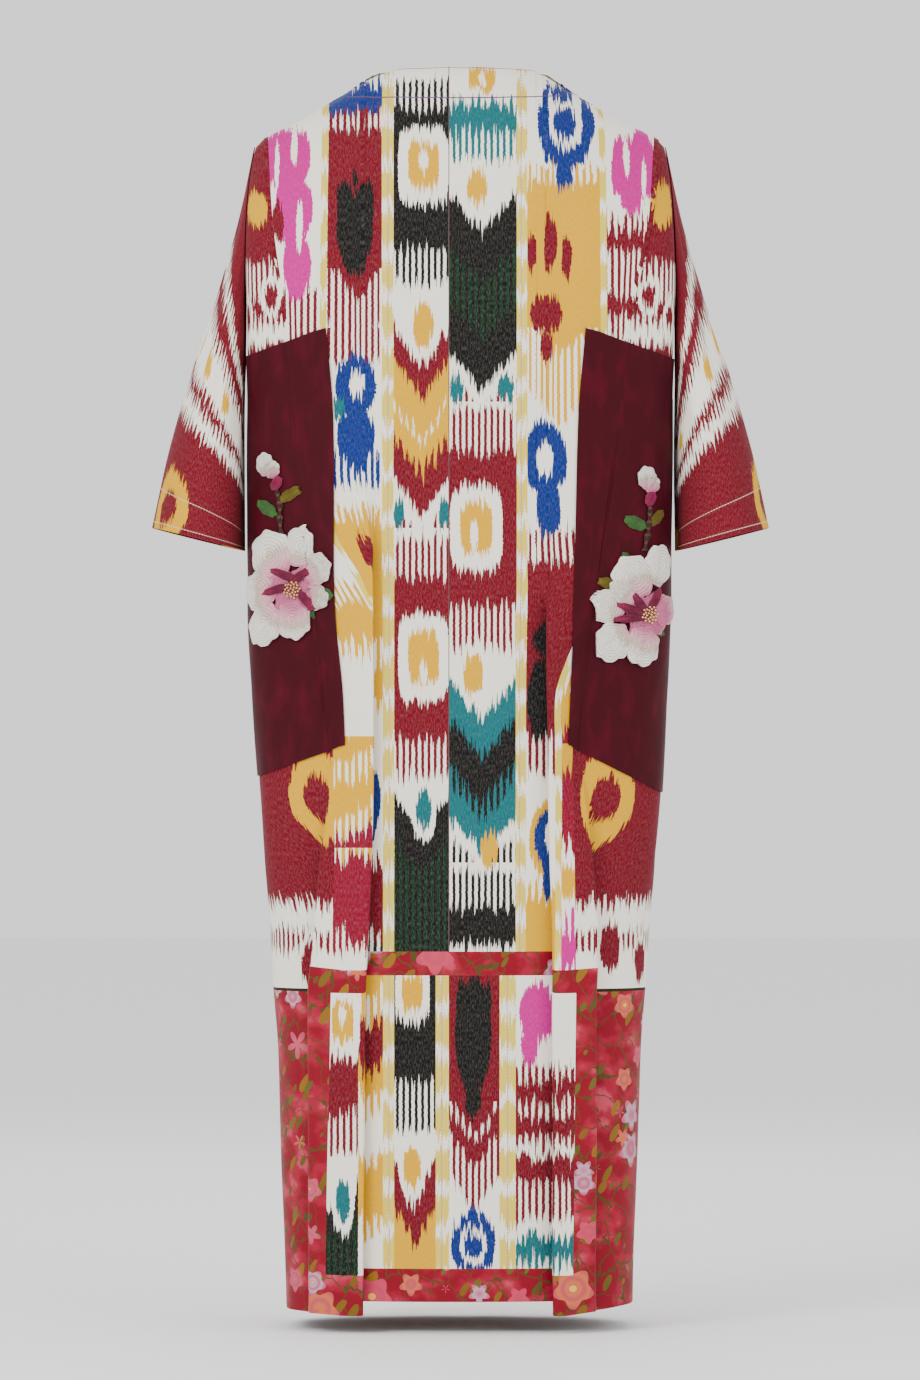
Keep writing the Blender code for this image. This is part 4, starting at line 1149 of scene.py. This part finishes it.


# Thread of the applied flowers: colour from the edge of a piece to its root. On the petal thread the
# grey-beige stop is painted shade at the roots; the pinks past it are the thread's own colour
THREADS = {
    "petal_thread": ((0.0, (0.90, 0.86, 0.80)), (0.22, (0.84, 0.79, 0.70)),
                     (0.36, (0.58, 0.48, 0.38)), (0.50, (0.78, 0.42, 0.48)),
                     (0.75, (0.60, 0.14, 0.28))),
    "blush_thread": ((0.0, (0.30, 0.0, 0.075)), (0.6, (0.21, 0.0, 0.05)), (1.0, (0.15, 0.0, 0.035))),
    "olive_thread": ((0.0, (0.17, 0.12, 0.0)), (0.3, (0.07, 0.085, 0.0)),
                     (0.6, (0.12, 0.035, 0.008))),
    "green_thread": ((0.0, (0.03, 0.15, 0.035)), (0.25, (0.035, 0.11, 0.01)),
                     (0.55, (0.14, 0.12, 0.0))),
    "stem_thread": ((0.0, (0.07, 0.022, 0.008)), (0.5, (0.035, 0.009, 0.006)),
                    (1.0, (0.06, 0.03, 0.008))),
}


# Height over the cloth from which the flowers rise, in millimetres, and each blossom's middle
UNDER_FLOWER = 3.3
BLOSSOMS = {
    LEFT: {"out": 179.0, "z": -573.0},
    RIGHT: {"out": 202.0, "z": -600.0},
}
# Petals of each blossom: middle, length, width, lift and how dark the root is, by its painted
# grey-beige shade and its pink
PETAL_ROWS = {
    LEFT: {"across": (-27, 8, 29, -44, -36, 0, 30), "up": (38, 47, 22, -1, -38, -32, -8),
           "long": (27, 23, 19, 24, 25, 22, 16), "wide": (23, 16, 16, 19, 18, 17, 12),
           "lift": (2.2, 1.2, 2.6, 1.4, 2.0, 3.0, 1.6), "dark": (0.3, 0.2, 0.9, 0.5, 0.3, 0.5, 1.0)},
    RIGHT: {"across": (-18, 15, -50, -42, -7, 22, -30), "up": (40, 54, 9, -30, -34, 5, 24),
            "long": (25, 23, 22, 23, 22, 18, 17), "wide": (21, 17, 16, 18, 18, 15, 13),
            "lift": (2.2, 1.2, 1.4, 2.0, 3.0, 2.6, 2.8), "dark": (0.3, 0.2, 0.6, 0.4, 0.4, 1.0, 0.9)},
}
STREAKS = {
    LEFT: {"across": (-4, 4, -12, 10), "up": (14, 12, 2, -6), "long": (17, 15, 16, 13),
           "turn": (160, 35, 195, 310)},
    RIGHT: {"across": (-14, -8, 4, -16), "up": (-3, 8, 10, 4), "long": (19, 15, 13, 16),
            "turn": (185, 130, 60, 160)},
}
# Buds, calyxes and leaves of each spray, as distances from the blossom's middle
SMALL = {
    LEFT: {"kind": ("bud", "bud", "calyx", "olive", "green", "green", "olive", "green"),
           "across": (-36, -26, -21, -5, -34, 38, -40, 20), "up": (137, 131, 116, 104, 89, -4, 22, -24),
           "long": (13, 10, 9, 15, 15, 13, 12, 11), "wide": (11, 9, 6, 6, 7, 7, 6, 5),
           "turn": (100, 60, 50, 30, 150, 345, 160, 320)},
    RIGHT: {"kind": ("bud", "bud", "calyx", "green", "olive", "green", "olive", "green"),
            "across": (0, 6, 4, -14, 13, 14, -46, -24), "up": (149, 142, 127, 100, 106, -16, 34, 60),
            "long": (13, 10, 9, 14, 12, 12, 12, 9), "wide": (11, 9, 6, 7, 6, 6, 6, 5),
            "turn": (95, 60, 70, 160, 40, 335, 165, 120)},
}
# Each kind's piece, thread, slot and the node that it stands for
SMALL_PIECES = {
    "bud": ("bud_petals_", "petal_thread", "petal_thread", "bud_"),
    "calyx": ("bud_calyx_", "blush_thread", "blush_thread", "calyx_"),
    "olive": ("leaves_olive_", "olive_thread", "leaf_thread", "leaf_inner_"),
    "green": ("leaves_green_", "green_thread", "leaf_thread", "leaf_outer_"),
}
TWIGS = {
    LEFT: {"across": (-24, -20, -16, -17, -15), "up": (118, 106, 92, 78, 62)},
    RIGHT: {"across": (4, 3, 2, 0, -4), "up": (124, 112, 98, 86, 70)},
}
# Cords of a stem: how far each swings about the line, and its radius
CORDS = ((0.0, 1.7), (3.0, 1.2), (-3.4, 1.1))
# Short petals round the heart: middle, length, width and turn
HEART_PETALS = ((-10, 6, 19, 15, 150), (9, 9, 18, 15, 45), (-7, -12, 18, 14, 240),
                (11, -8, 15, 13, 320))
# Beads stand on a sunflower spiral: their count, the spiral's radius, its turn and their height
BEADS = 26
BEAD_REACH = 9.5
BEAD_TURN = 2.4
BEAD_HEIGHT = 6.6

# Grids of a pad, a bead and a cord, as rings or steps and spokes or sides
PAD_GRID = (14, 49)
BEAD_GRID = (7, 11)
CORD_GRID = (28, 11)

# Table of the cloth under a spray: entries each way, and its reach from the blossom's middle
TABLE = 90
TABLE_ABOVE = 180.0
TABLE_BELOW = 90.0
TABLE_BEHIND = 60.0
TABLE_WIDE = 190.0


class PatchTable:
    """Cloth of one side as a table by run along the cloth and by height, for laying flowers on."""

    def __init__(self, form, side):
        spot = BLOSSOMS[side]
        self.side = side
        first, last = COLUMN_NAMES["patch"] * COLUMN_SPLIT, COLUMN_NAMES["far_arm"] * COLUMN_SPLIT
        places = np.array([place if side == LEFT else form.columns - place
                           for place in range(first, last)]) % form.columns
        near = (COLUMN_NAMES["near_arm"] - COLUMN_NAMES["patch"]) * COLUMN_SPLIT + 1
        heights = np.linspace(spot["z"] + TABLE_ABOVE, spot["z"] - TABLE_BELOW, TABLE)
        rows = form.points[UNDERARM * ROW_SPLIT:, places]
        facing = form.normals[UNDERARM * ROW_SPLIT:, places]
        ahead = np.arange(len(places))
        self.top, self.step = heights[0], heights[0] - heights[1]
        self.tables = ([], [])
        for height in heights:
            row = np.clip((rows[:, :, 2] < height).argmax(axis=0), 1, len(rows) - 1)
            upper, lower = rows[row - 1, ahead], rows[row, ahead]
            part = ((upper[:, 2] - height) / (upper[:, 2] - lower[:, 2]))[:, None]
            line = upper * (1 - part) + lower * part
            run = np.concatenate([[0], np.cumsum(np.linalg.norm(np.diff(line, axis=0), axis=1))])
            start = np.interp(spot["out"], np.abs(line[:near, 0]), run[:near])
            even = np.linspace(0, TABLE_WIDE, TABLE) + start - TABLE_BEHIND
            for table, values in zip(self.tables, (line, facing[row, ahead])):
                table.append(np.stack([np.interp(even, run, values[:, axis]) for axis in range(3)], 1))
        self.tables = [np.array(table) for table in self.tables]

    def lay(self, across, up, height):
        """Points at a height over the cloth, by bilinear look-up in the table."""
        far = TABLE - 1
        z = BLOSSOMS[self.side]["z"] + up
        x = np.clip((self.side * across + TABLE_BEHIND) / TABLE_WIDE * far, 0, far - 0.001)
        y = np.clip((self.top - z) / self.step, 0, far - 0.001)
        column, row = x.astype(int), y.astype(int)
        s, t = (x - column)[..., None], (y - row)[..., None]
        spot, lean = (
            (table[row, column] * (1 - s) + table[row, column + 1] * s) * (1 - t)
            + (table[row + 1, column] * (1 - s) + table[row + 1, column + 1] * s) * t
            for table in self.tables)
        return spot + lean / np.linalg.norm(lean, axis=-1, keepdims=True) * height[..., None]

    def facing_out(self, faces, turned):
        """Faces of a grid, turned round on one of the two sides so that they look outwards."""
        return faces[:, ::-1] if self.side == turned else faces


def grid_faces(rows, columns):
    """Quads of an open grid."""
    row, column = np.mgrid[0:rows - 1, 0:columns - 1].reshape(2, -1)
    a = row * columns + column
    return np.stack([a, a + 1, a + columns + 1, a + columns], 1)


def pad_piece(table, middle, long, wide, turn, lift, dome, ruffle, tone, root=(0.0, 0.0)):
    """Raised petal or leaf: an oval pad with a crocheted edge, as upper and lower sheets.

    Rings r and angles a give x = long r cos a, y = wide r sin a, with a waved edge of
    1 + ruffle sin 7a. Height is lift + dome times the root of 1 - r^2, with fine ribs, a
    curled edge and a trough down the middle. The chart's U says how near the root lies.
    """
    rings, spokes = PAD_GRID
    r, a = np.meshgrid(np.linspace(0, 1, rings), np.linspace(0, 2 * math.pi, spokes), indexing="ij")
    wave = 1 + ruffle * np.sin(7 * a + middle[0]) * r ** 3 + 0.4 * ruffle * np.sin(13 * a) * r ** 3
    x, y = long * r * np.cos(a) * wave, wide * r * np.sin(a) * wave
    angle = math.radians(turn)
    across = middle[0] + x * math.cos(angle) - y * math.sin(angle)
    up = middle[1] + x * math.sin(angle) + y * math.cos(angle)
    body = np.sqrt(np.clip(1 - r ** 2, 0, 1))
    ribs = 0.30 * np.sin(r * 26) + 0.22 * np.sin(a * 24) * r
    curl = ruffle * 9 * np.sin(5 * a + middle[1]) * r ** 2
    trough = -0.9 * np.exp(-(y / (0.22 * wide)) ** 2) * (1 - r) * 2
    high = UNDER_FLOWER + lift + dome * body + ribs * body + curl * 0.5 + trough * dome / 3 + 0.9
    low = np.minimum(UNDER_FLOWER + lift * 0.4 + 0.15, high - 0.5)
    faces = table.facing_out(grid_faces(rings, spokes), LEFT)
    total = rings * spokes
    rim = np.arange(spokes - 1) + (rings - 1) * spokes
    edge = np.stack([rim, rim + 1, rim + 1 + total, rim + total], 1)
    away = np.hypot(across - root[0], up - root[1])
    # Painted shade and colour: nearer the root, U runs further along the thread's ramp; on petals this
    # passes through painted grey-beige root shade to the thread's pink
    root_shade_and_tone = np.clip(1 - away / (long * 2.3), 0, 1)
    chart = np.stack([tone + 0.98 * root_shade_and_tone, r], -1).reshape(-1, 2)
    points = np.concatenate([table.lay(across, up, height).reshape(-1, 3) for height in (high, low)])
    faces = np.concatenate([faces, faces[:, ::-1] + total, table.facing_out(edge, RIGHT)])
    return points, faces, np.concatenate([chart, chart])


def bead_piece(table, across, up, size):
    """Small round bead on the blossom's heart."""
    rows, columns = BEAD_GRID
    t, p = np.meshgrid(np.linspace(0, math.pi, rows), np.linspace(0, 2 * math.pi, columns),
                       indexing="ij")
    x, y = size * np.sin(t) * np.cos(p), size * np.sin(t) * np.sin(p)
    points = table.lay(across + x, up + y, UNDER_FLOWER + BEAD_HEIGHT + size * np.cos(t))
    faces = table.facing_out(grid_faces(rows, columns), LEFT)
    return points.reshape(-1, 3), faces, np.full((rows * columns, 2), 0.5)


def cord_piece(table, places, thick):
    """Stem cord: a round tube carried along a line laid on the patch."""
    steps, sides = CORD_GRID
    at = np.linspace(0, 1, steps)
    knots = np.linspace(0, 1, len(places["up"]))
    across, up = np.interp(at, knots, places["across"]), np.interp(at, knots, places["up"])
    a = np.linspace(0, 2 * math.pi, sides)
    x = across[:, None] + thick * np.cos(a)[None] * (1 + 0.1 * np.sin(at * 40))[:, None]
    z = UNDER_FLOWER + 1.4 + thick * np.sin(a)[None] + 0 * x
    points = table.lay(x, up[:, None] + 0 * x, z)
    chart = np.stack([np.full(steps * sides, 0.5), np.repeat(at, sides)], 1)
    return points.reshape(-1, 3), table.facing_out(grid_faces(steps, sides), RIGHT), chart


def joined(pieces):
    """Joins pieces into one set of arrays, with corner charts."""
    start, points, faces, charts = 0, [], [], []
    for piece_points, piece_faces, chart in pieces:
        points.append(piece_points)
        faces.append(piece_faces + start)
        charts.append(chart[piece_faces])
        start += len(piece_points)
    return np.concatenate(points), np.concatenate(faces), np.concatenate(charts)


@functools.cache
def thread_finish(name):
    """Crocheted thread: colour runs from edge to root, with ribs of thread as bump and painted shade in
    dark rings between the rows of thread.
    """
    made = Finish(name, roughness=0.75, sheen=0.03, specular=0.15)
    u, v = made.chart()
    place = made.node("ShaderNodeTexCoord").outputs["Object"]
    blot = made.noise(place, 260.0, 3.0) - 0.5
    fibre = made.noise(place, 900.0, 2.0)
    colour = made.ramp(u + blot * 0.35, THREADS[name], "LINEAR")
    # Painted shade: dark rings, on the same rings as the rib bump, darken the thread towards (0.16,
    # 0.12, 0.09) for the shade between its rows
    groove_shade = ((v * 44.0 + fibre * 2.0).sine() * 0.5 + 0.5).power(3.0)
    colour = made.mix(groove_shade * 0.34, colour, (0.16, 0.12, 0.09))
    colour = made.mix((fibre - 0.5) * 1.1, colour, (0.20, 0.12, 0.08))
    ribs = (v * 44.0).sine() * 0.5 + fibre
    return made.finish(colour, made.bump(ribs, 0.0012, 0.9))


def gilt_finish():
    """Gilt of the beads, slightly uneven."""
    made = Finish("bead_gilt", roughness=0.28, specular=0.6)
    made.shader.inputs["Metallic"].default_value = 0.9
    place = made.node("ShaderNodeTexCoord").outputs["Object"]
    return made.finish(made.mix(made.noise(place, 300.0), (0.55, 0.25, 0.10), (0.85, 0.58, 0.28)))


@functools.cache
def cloth():
    """The body's cloth, worked out once and used by each operator."""
    return Cloth()


def cloth_area(points, mask):
    """Area of the masked cells, in square metres: half the cross product of the diagonals."""
    q = np.roll(points, -1, axis=1)
    across = np.cross(q[1:] - points[:-1], points[1:] - q[:-1])
    return float(np.linalg.norm(across, axis=2)[mask].sum() / 2) * MM * MM


def cut_size(points, mask):
    """Longest run across and down the masked cells, in metres: the size of the cut when flat."""
    across = np.linalg.norm(np.roll(points, -1, axis=1) - points, axis=2)
    down = np.linalg.norm(np.diff(points, axis=0), axis=2)
    wide = max((across[:-1] * mask).sum(axis=1).max(), (across[1:] * mask).sum(axis=1).max())
    tall = (down * mask).sum(axis=0).max()
    return float(wide) * MM, float(tall) * MM


def add_cloth(name, points, normals, chart, mask, low, high, material, slot, node):
    """One cut piece of cloth as a closed thin shell in place of its solid; the size of its cut is
    worked out but not kept.
    """
    shell, faces, uvs = shell_mesh(points, normals, chart, mask, low, high)
    made = add_mesh(name, shell, faces, uvs, material, slot, (node,))
    flat = cut_size(points, mask)
    min(cloth_area(points, mask), flat[0] * flat[1])


def add_panel(name, mask, low, high, material, slot, node):
    """One cut panel of the body."""
    form = cloth()
    u = form.front_u if name.startswith("front") else form.u
    add_cloth(name, form.points, form.normals, (u, form.v), mask, low, high, material, slot, node)


class KaftanSizes(bpy.types.PropertyGroup):
    """Sizes that a user would change."""

    shell: bpy.props.FloatProperty(
        name="Cloth shell", description="Thickness of the cloth shells, in millimetres",
        default=SHELL, min=0.4, max=2.0)
    bead: bpy.props.FloatProperty(
        name="Bead radius", description="Radius of the beads in each blossom, in millimetres",
        default=1.5, min=0.8, max=2.5)


class KaftanStudio(bpy.types.PropertyGroup):
    """Studio settings."""

    floor: bpy.props.FloatVectorProperty(
        name="Floor colour", description="Colour of the plain studio floor",
        subtype="COLOR", size=3, default=(0.92, 0.92, 0.92), min=0.0, max=1.0)
    light: bpy.props.FloatProperty(
        name="Key light", description="Power of the key light, in watts",
        subtype="POWER", default=110.0, min=1.0)


class KAFTAN_OT_panels(bpy.types.Operator):
    """Build the ikat and chiffon panels of the body"""

    bl_idname = "kaftan.panels"
    bl_label = "Body panels"

    def execute(self, context):
        block = cloth().block
        half = context.scene.kaftan_sizes.shell / 2
        tier, band = ROW_NAMES["tier_hem"], ROW_NAMES["band_hem"]
        skirt, hem = ROW_NAMES["skirt_hem"], ROW_NAMES["hem"]
        upper = (upper_ikat(), "ikat")
        lower = (skirt_ikat(), "ikat")
        sides = (side_ikat(), "maroon_ikat")
        chiffon = (chiffon_finish(), "flowered_chiffon")
        whole = (
            ("back_insertion", tier, band, "centre", "outer_edge", chiffon, "back_band"),
            ("back_lower_ikat", band, skirt, "centre", "seam", lower, "back_skirt"),
            ("back_hem_chiffon", skirt, hem, "centre", "seam", chiffon, "back_hem_band"),
            ("front_centre_ikat", 0, tier, "far_seam", "far_centre", upper, "front_panel"),
            ("front_insertion", tier, band, "far_seam", "far_centre", chiffon, "front_band"),
            ("front_lower_ikat", band, skirt, "far_seam", "far_centre", lower, "front_skirt"),
            ("front_hem_chiffon", skirt, hem, "far_seam", "far_centre", chiffon, "front_hem_band"),
        )
        for name, top, bottom, first, last, finish, node in whole:
            mask = block(LEFT, top, bottom, first, last) | block(RIGHT, top, bottom, first, last)
            add_panel(name, mask, -half, half, *finish, node)
        for side, word in SIDES:
            mask = block(side, 0, tier, "centre", "seam")
            add_panel("back_centre_ikat_" + word, mask, -half, half, *upper, "back_panel_" + word)
            mask = block(side, 0, tier, "seam", "near_arm")
            mask |= block(side, tier, band, "outer_edge", "near_arm")
            mask |= block(side, UNDERARM, band, "near_arm", "far_arm")
            mask |= block(side, 0, band, "far_arm", "far_seam")
            add_panel("side_ikat_" + word, mask, -half, half, *sides, "side_panel_" + word)
            mask = block(side, band, hem, "seam", "far_seam")
            add_panel("side_lower_chiffon_" + word, mask, -half, half, *chiffon,
                      "side_chiffon_" + word)
        return {"FINISHED"}


class KAFTAN_OT_patches(bpy.types.Operator):
    """Lay the sheer patches over the sides"""

    bl_idname = "kaftan.patches"
    bl_label = "Sheer patches"

    def execute(self, context):
        block = cloth().block
        top, bottom = ROW_NAMES["patch_top"], ROW_NAMES["patch_bottom"]
        material = sheer_finish()
        for side, word in SIDES:
            mask = block(side, top, bottom, "patch", "near_arm")
            mask |= block(side, UNDERARM, bottom, "near_arm", "far_arm")
            mask |= block(side, top, bottom, "far_arm", "far_seam")
            add_panel("sheer_patch_" + word, mask, PATCH_LIFT, PATCH_LIFT + PATCH_SHELL, material,
                      "burgundy_sheer", "patch_" + word)
        return {"FINISHED"}


# Finer grid of the sleeves: splits down and around, and the columns that wrap past each end
SLEEVE_DOWN = 12
SLEEVE_AROUND = 6
SLEEVE_WRAP = 2
# Folds along a sleeve: place around it, half width, depth in millimetres and slant
SLEEVE_FOLDS = (
    (0.17, 0.022, -3.0, 0.05), (0.27, 0.02, 2.6, -0.04), (0.10, 0.02, 2.0, -0.06),
    (0.62, 0.025, -3.0, 0.05), (0.8, 0.02, 2.4, -0.04), (0.36, 0.02, -2.0, 0.05),
)
# Chart of a sleeve, in squares: run around and its shift on the right, top, length and slope
SLEEVE_CHART = {"around": 420.0, "shift": 0.03, "top": 150.0, "long": 392.0, "slope": 22.0}


class KAFTAN_OT_sleeves(bpy.types.Operator):
    """Build both sleeves"""

    bl_idname = "kaftan.sleeves"
    bl_label = "Sleeves"

    def execute(self, context):
        material = sleeve_ikat()
        half = context.scene.kaftan_sizes.shell / 2
        chart = SLEEVE_CHART
        for side, word in SIDES:
            tube = sleeve_tube(cloth().coarse, side)
            tube = refine(tube if side == LEFT else tube[:, ::-1], 0, SLEEVE_DOWN)
            ring = np.concatenate([tube[:, -SLEEVE_WRAP:], tube, tube[:, :SLEEVE_WRAP + 1]], axis=1)
            start = SLEEVE_WRAP * SLEEVE_AROUND
            stop = start + tube.shape[1] * SLEEVE_AROUND
            fine = refine(ring, 1, SLEEVE_AROUND)[:, start:stop]
            rows, columns = fine.shape[:2]
            t, a = np.meshgrid(np.linspace(0, 1, rows), np.arange(columns) / columns, indexing="ij")
            push = np.zeros(t.shape)
            for centre, wide, deep, slant in SLEEVE_FOLDS:
                across = np.exp(-((a - centre - slant * t) / wide) ** 2)
                push += deep * across * np.sin(np.pi * np.clip(t, 0, 1)) ** 1.5
            fine = fine + tube_facing(fine) * push[:, :, None]
            u = chart["around"] * (a if side == LEFT else (1 - a) + chart["shift"])
            v = chart["top"] + t * chart["long"] - chart["slope"] * np.cos(2 * np.pi * a) * (1 - t)
            mask = np.ones((rows - 1, columns), bool)
            add_cloth("sleeve_ikat_" + word, fine, tube_facing(fine), (u, v), mask, -half, half,
                      material, "maroon_ikat", "sleeve_" + word)
        return {"FINISHED"}


def petals_of(table):
    """Petals of one blossom, each turned away from its middle, and the short ones at its heart."""
    petals = []
    for across, up, long, wide, lift, dark in zip(*PETAL_ROWS[table.side].values()):
        turn = math.degrees(math.atan2(up, across))
        petals.append(pad_piece(table, (across, up), long, wide * 1.14, turn, lift, 4.4, 0.055,
                                dark * 0.3))
    for across, up, long, wide, turn in HEART_PETALS:
        petals.append(pad_piece(table, (across, up), long, wide, turn, 0.8, 2.4, 0.05, 0.42))
    return petals


def streaks_of(table):
    """Narrow magenta streaks, each pushed out from the heart along its own turn."""
    streaks = []
    for across, up, long, turn in zip(*STREAKS[table.side].values()):
        angle = math.radians(turn)
        middle = (across + 6 * math.cos(angle), up + 6 * math.sin(angle))
        streaks.append(pad_piece(table, middle, long * 1.15, 4.6, turn, 4.8, 2.0, 0.05, 0.1))
    return streaks


def beads_of(table, size):
    """Beads at the heart: bead n stands at a radius that grows with the root of n."""
    beads = []
    for number in range(BEADS):
        reach = BEAD_REACH * math.sqrt((number + 0.5) / BEADS)
        angle = BEAD_TURN * number
        beads.append(bead_piece(table, reach * math.cos(angle), reach * math.sin(angle), size))
    return beads


def small_of(table, wanted):
    """Pads of one kind. A bud's root is at its calyx, the other roots are at the blossom."""
    rows = SMALL[table.side]
    calyx = rows["kind"].index("calyx")
    root = (rows["across"][calyx], rows["up"][calyx]) if wanted == "bud" else (0.0, 0.0)
    lift, dome = (0.3, 1.2) if wanted in ("olive", "green") else (1.2, 3.4)
    return [pad_piece(table, (across, up), long, wide, turn, lift, dome, 0.05, 0.1, root)
            for kind, across, up, long, wide, turn in zip(*rows.values()) if kind == wanted]


def cords_of(table):
    """Cords of the stem, which swing about its line."""
    cords = []
    places = TWIGS[table.side]
    for push, thick in CORDS:
        swing = [push * math.sin(2.6 * place + push) for place in range(len(places["up"]))]
        route = {"across": np.add(places["across"], swing), "up": places["up"]}
        cords.append(cord_piece(table, route, thick))
    return cords


class KAFTAN_OT_flowers(bpy.types.Operator):
    """Sew the applied flowers on the patches"""

    bl_idname = "kaftan.flowers"
    bl_label = "Applied flowers"

    def execute(self, context):
        size = context.scene.kaftan_sizes.bead
        gilt = gilt_finish()
        for side, word in SIDES:
            table = PatchTable(cloth(), side)
            add_mesh("blossom_petals_" + word, *joined(petals_of(table)),
                     thread_finish("petal_thread"), "petal_thread", ("blossom_" + word,))
            add_mesh("blossom_streaks_" + word, *joined(streaks_of(table)),
                     thread_finish("blush_thread"), "blush_thread")
            add_mesh("blossom_beads_" + word, *joined(beads_of(table, size)), gilt, "petal_thread")
            for kind, (piece, thread, slot, node) in SMALL_PIECES.items():
                add_mesh(piece + word, *joined(small_of(table, kind)), thread_finish(thread), slot,
                         (node + word,))
            add_mesh("stem_cord_" + word, *joined(cords_of(table)), thread_finish("stem_thread"),
                     "twig_thread", ("twig_" + word,))
        return {"FINISHED"}


def area_light(name, power, size, place, aim):
    """Soft area light that faces a point."""
    lamp = bpy.data.lights.new(name, "AREA")
    lamp.energy = power
    lamp.size = size
    made = bpy.data.objects.new(name, lamp)
    made.location = place
    direction = np.array(place) - np.array(aim)
    flat = math.hypot(direction[0], direction[1])
    made.rotation_euler = (math.atan2(flat, direction[2]), 0.0,
                           math.atan2(direction[1], direction[0]) + math.pi / 2)
    bpy.context.scene.collection.objects.link(made)


# Studio, in metres: floor's reach and drop, and the camera, which sees what the photo does
FLOOR_REACH = 14.0
FLOOR_DROP = 0.02
WORLD_STRENGTH = 1.25
CAMERA_AWAY = 9.0
SENSOR_HIGH = 24.0
PICTURE_TALL = 1380
PICTURE_HIGH = PICTURE_TALL * CHART_UNIT * MM
CAMERA_HEIGHT = -(PICTURE_TALL / 2 - CHART_TOP) * CHART_UNIT * MM
# Soft lights: share of the key light's power, size, place and the point each faces
LIGHTS = {
    "key_light": (1.0, 1.6, (-2.2, -3.0, 1.2), (0.0, 0.0, -0.6)),
    "fill_light": (0.45, 2.4, (2.6, -2.8, 0.2), (0.0, 0.0, -0.7)),
    "back_light": (0.3, 2.0, (0.0, 3.0, 1.5), (0.0, 0.0, -0.6)),
}


class KAFTAN_OT_stage(bpy.types.Operator):
    """Set the pale floor, the soft lights and the camera"""

    bl_idname = "kaftan.stage"
    bl_label = "Studio"

    def execute(self, context):
        settings = context.scene.kaftan_studio
        low = CAD_BOX[0][2] - FLOOR_DROP
        corners = [(x * FLOOR_REACH, y * FLOOR_REACH, low)
                   for x, y in ((-1, -1), (1, -1), (1, 1), (-1, 1))]
        mesh = bpy.data.meshes.new("studio_floor")
        mesh.from_pydata(corners, [], [(0, 1, 2, 3)])
        floor = Finish("studio_floor", roughness=0.9, specular=0.1)
        mesh.materials.append(floor.finish(tuple(settings.floor)))
        made = bpy.data.objects.new("studio_floor", mesh)
        context.scene.collection.objects.link(made)
        world = bpy.data.worlds.new("studio")
        world.use_nodes = True
        sky = world.node_tree.nodes["Background"]
        sky.inputs["Color"].default_value = (1.0, 1.0, 1.0, 1.0)
        sky.inputs["Strength"].default_value = WORLD_STRENGTH
        context.scene.world = world
        for name, (share, size, place, aim) in LIGHTS.items():
            area_light(name, settings.light * share, size, place, aim)
        lens = bpy.data.cameras.new("camera")
        lens.sensor_fit = "VERTICAL"
        lens.sensor_height = SENSOR_HIGH
        lens.lens = SENSOR_HIGH * CAMERA_AWAY / PICTURE_HIGH
        camera = bpy.data.objects.new("camera", lens)
        camera.location = (0.0, -CAMERA_AWAY, CAMERA_HEIGHT)
        camera.rotation_euler = (math.pi / 2, 0.0, 0.0)
        context.scene.collection.objects.link(camera)
        context.scene.camera = camera
        return {"FINISHED"}


OPERATORS = (KAFTAN_OT_panels, KAFTAN_OT_patches, KAFTAN_OT_sleeves, KAFTAN_OT_flowers,
             KAFTAN_OT_stage)


class KAFTAN_PT_panel(bpy.types.Panel):
    """Lists the kaftan's settings and steps."""

    bl_label = "Ikat kaftan"
    bl_idname = "KAFTAN_PT_panel"
    bl_space_type = "VIEW_3D"
    bl_region_type = "UI"
    bl_category = "Kaftan"

    def draw(self, context):
        for group in (context.scene.kaftan_sizes, context.scene.kaftan_studio):
            for name in group.__annotations__:
                self.layout.prop(group, name)
        for operator in OPERATORS:
            self.layout.operator(operator.bl_idname)


CLASSES = (KaftanSizes, KaftanStudio) + OPERATORS + (KAFTAN_PT_panel,)


def register():
    """Registers the classes and hangs the settings on the scene."""
    for one in CLASSES:
        bpy.utils.register_class(one)
    bpy.types.Scene.kaftan_sizes = bpy.props.PointerProperty(type=KaftanSizes)
    bpy.types.Scene.kaftan_studio = bpy.props.PointerProperty(type=KaftanStudio)


def unregister():
    """Takes the settings and the classes away again."""
    del bpy.types.Scene.kaftan_studio
    del bpy.types.Scene.kaftan_sizes
    for one in reversed(CLASSES):
        bpy.utils.unregister_class(one)


def main():
    """Runs every step in order."""
    register()
    bpy.ops.kaftan.panels()
    bpy.ops.kaftan.patches()
    bpy.ops.kaftan.sleeves()
    bpy.ops.kaftan.flowers()
    bpy.ops.kaftan.stage()


if __name__ == "__main__":
    main()
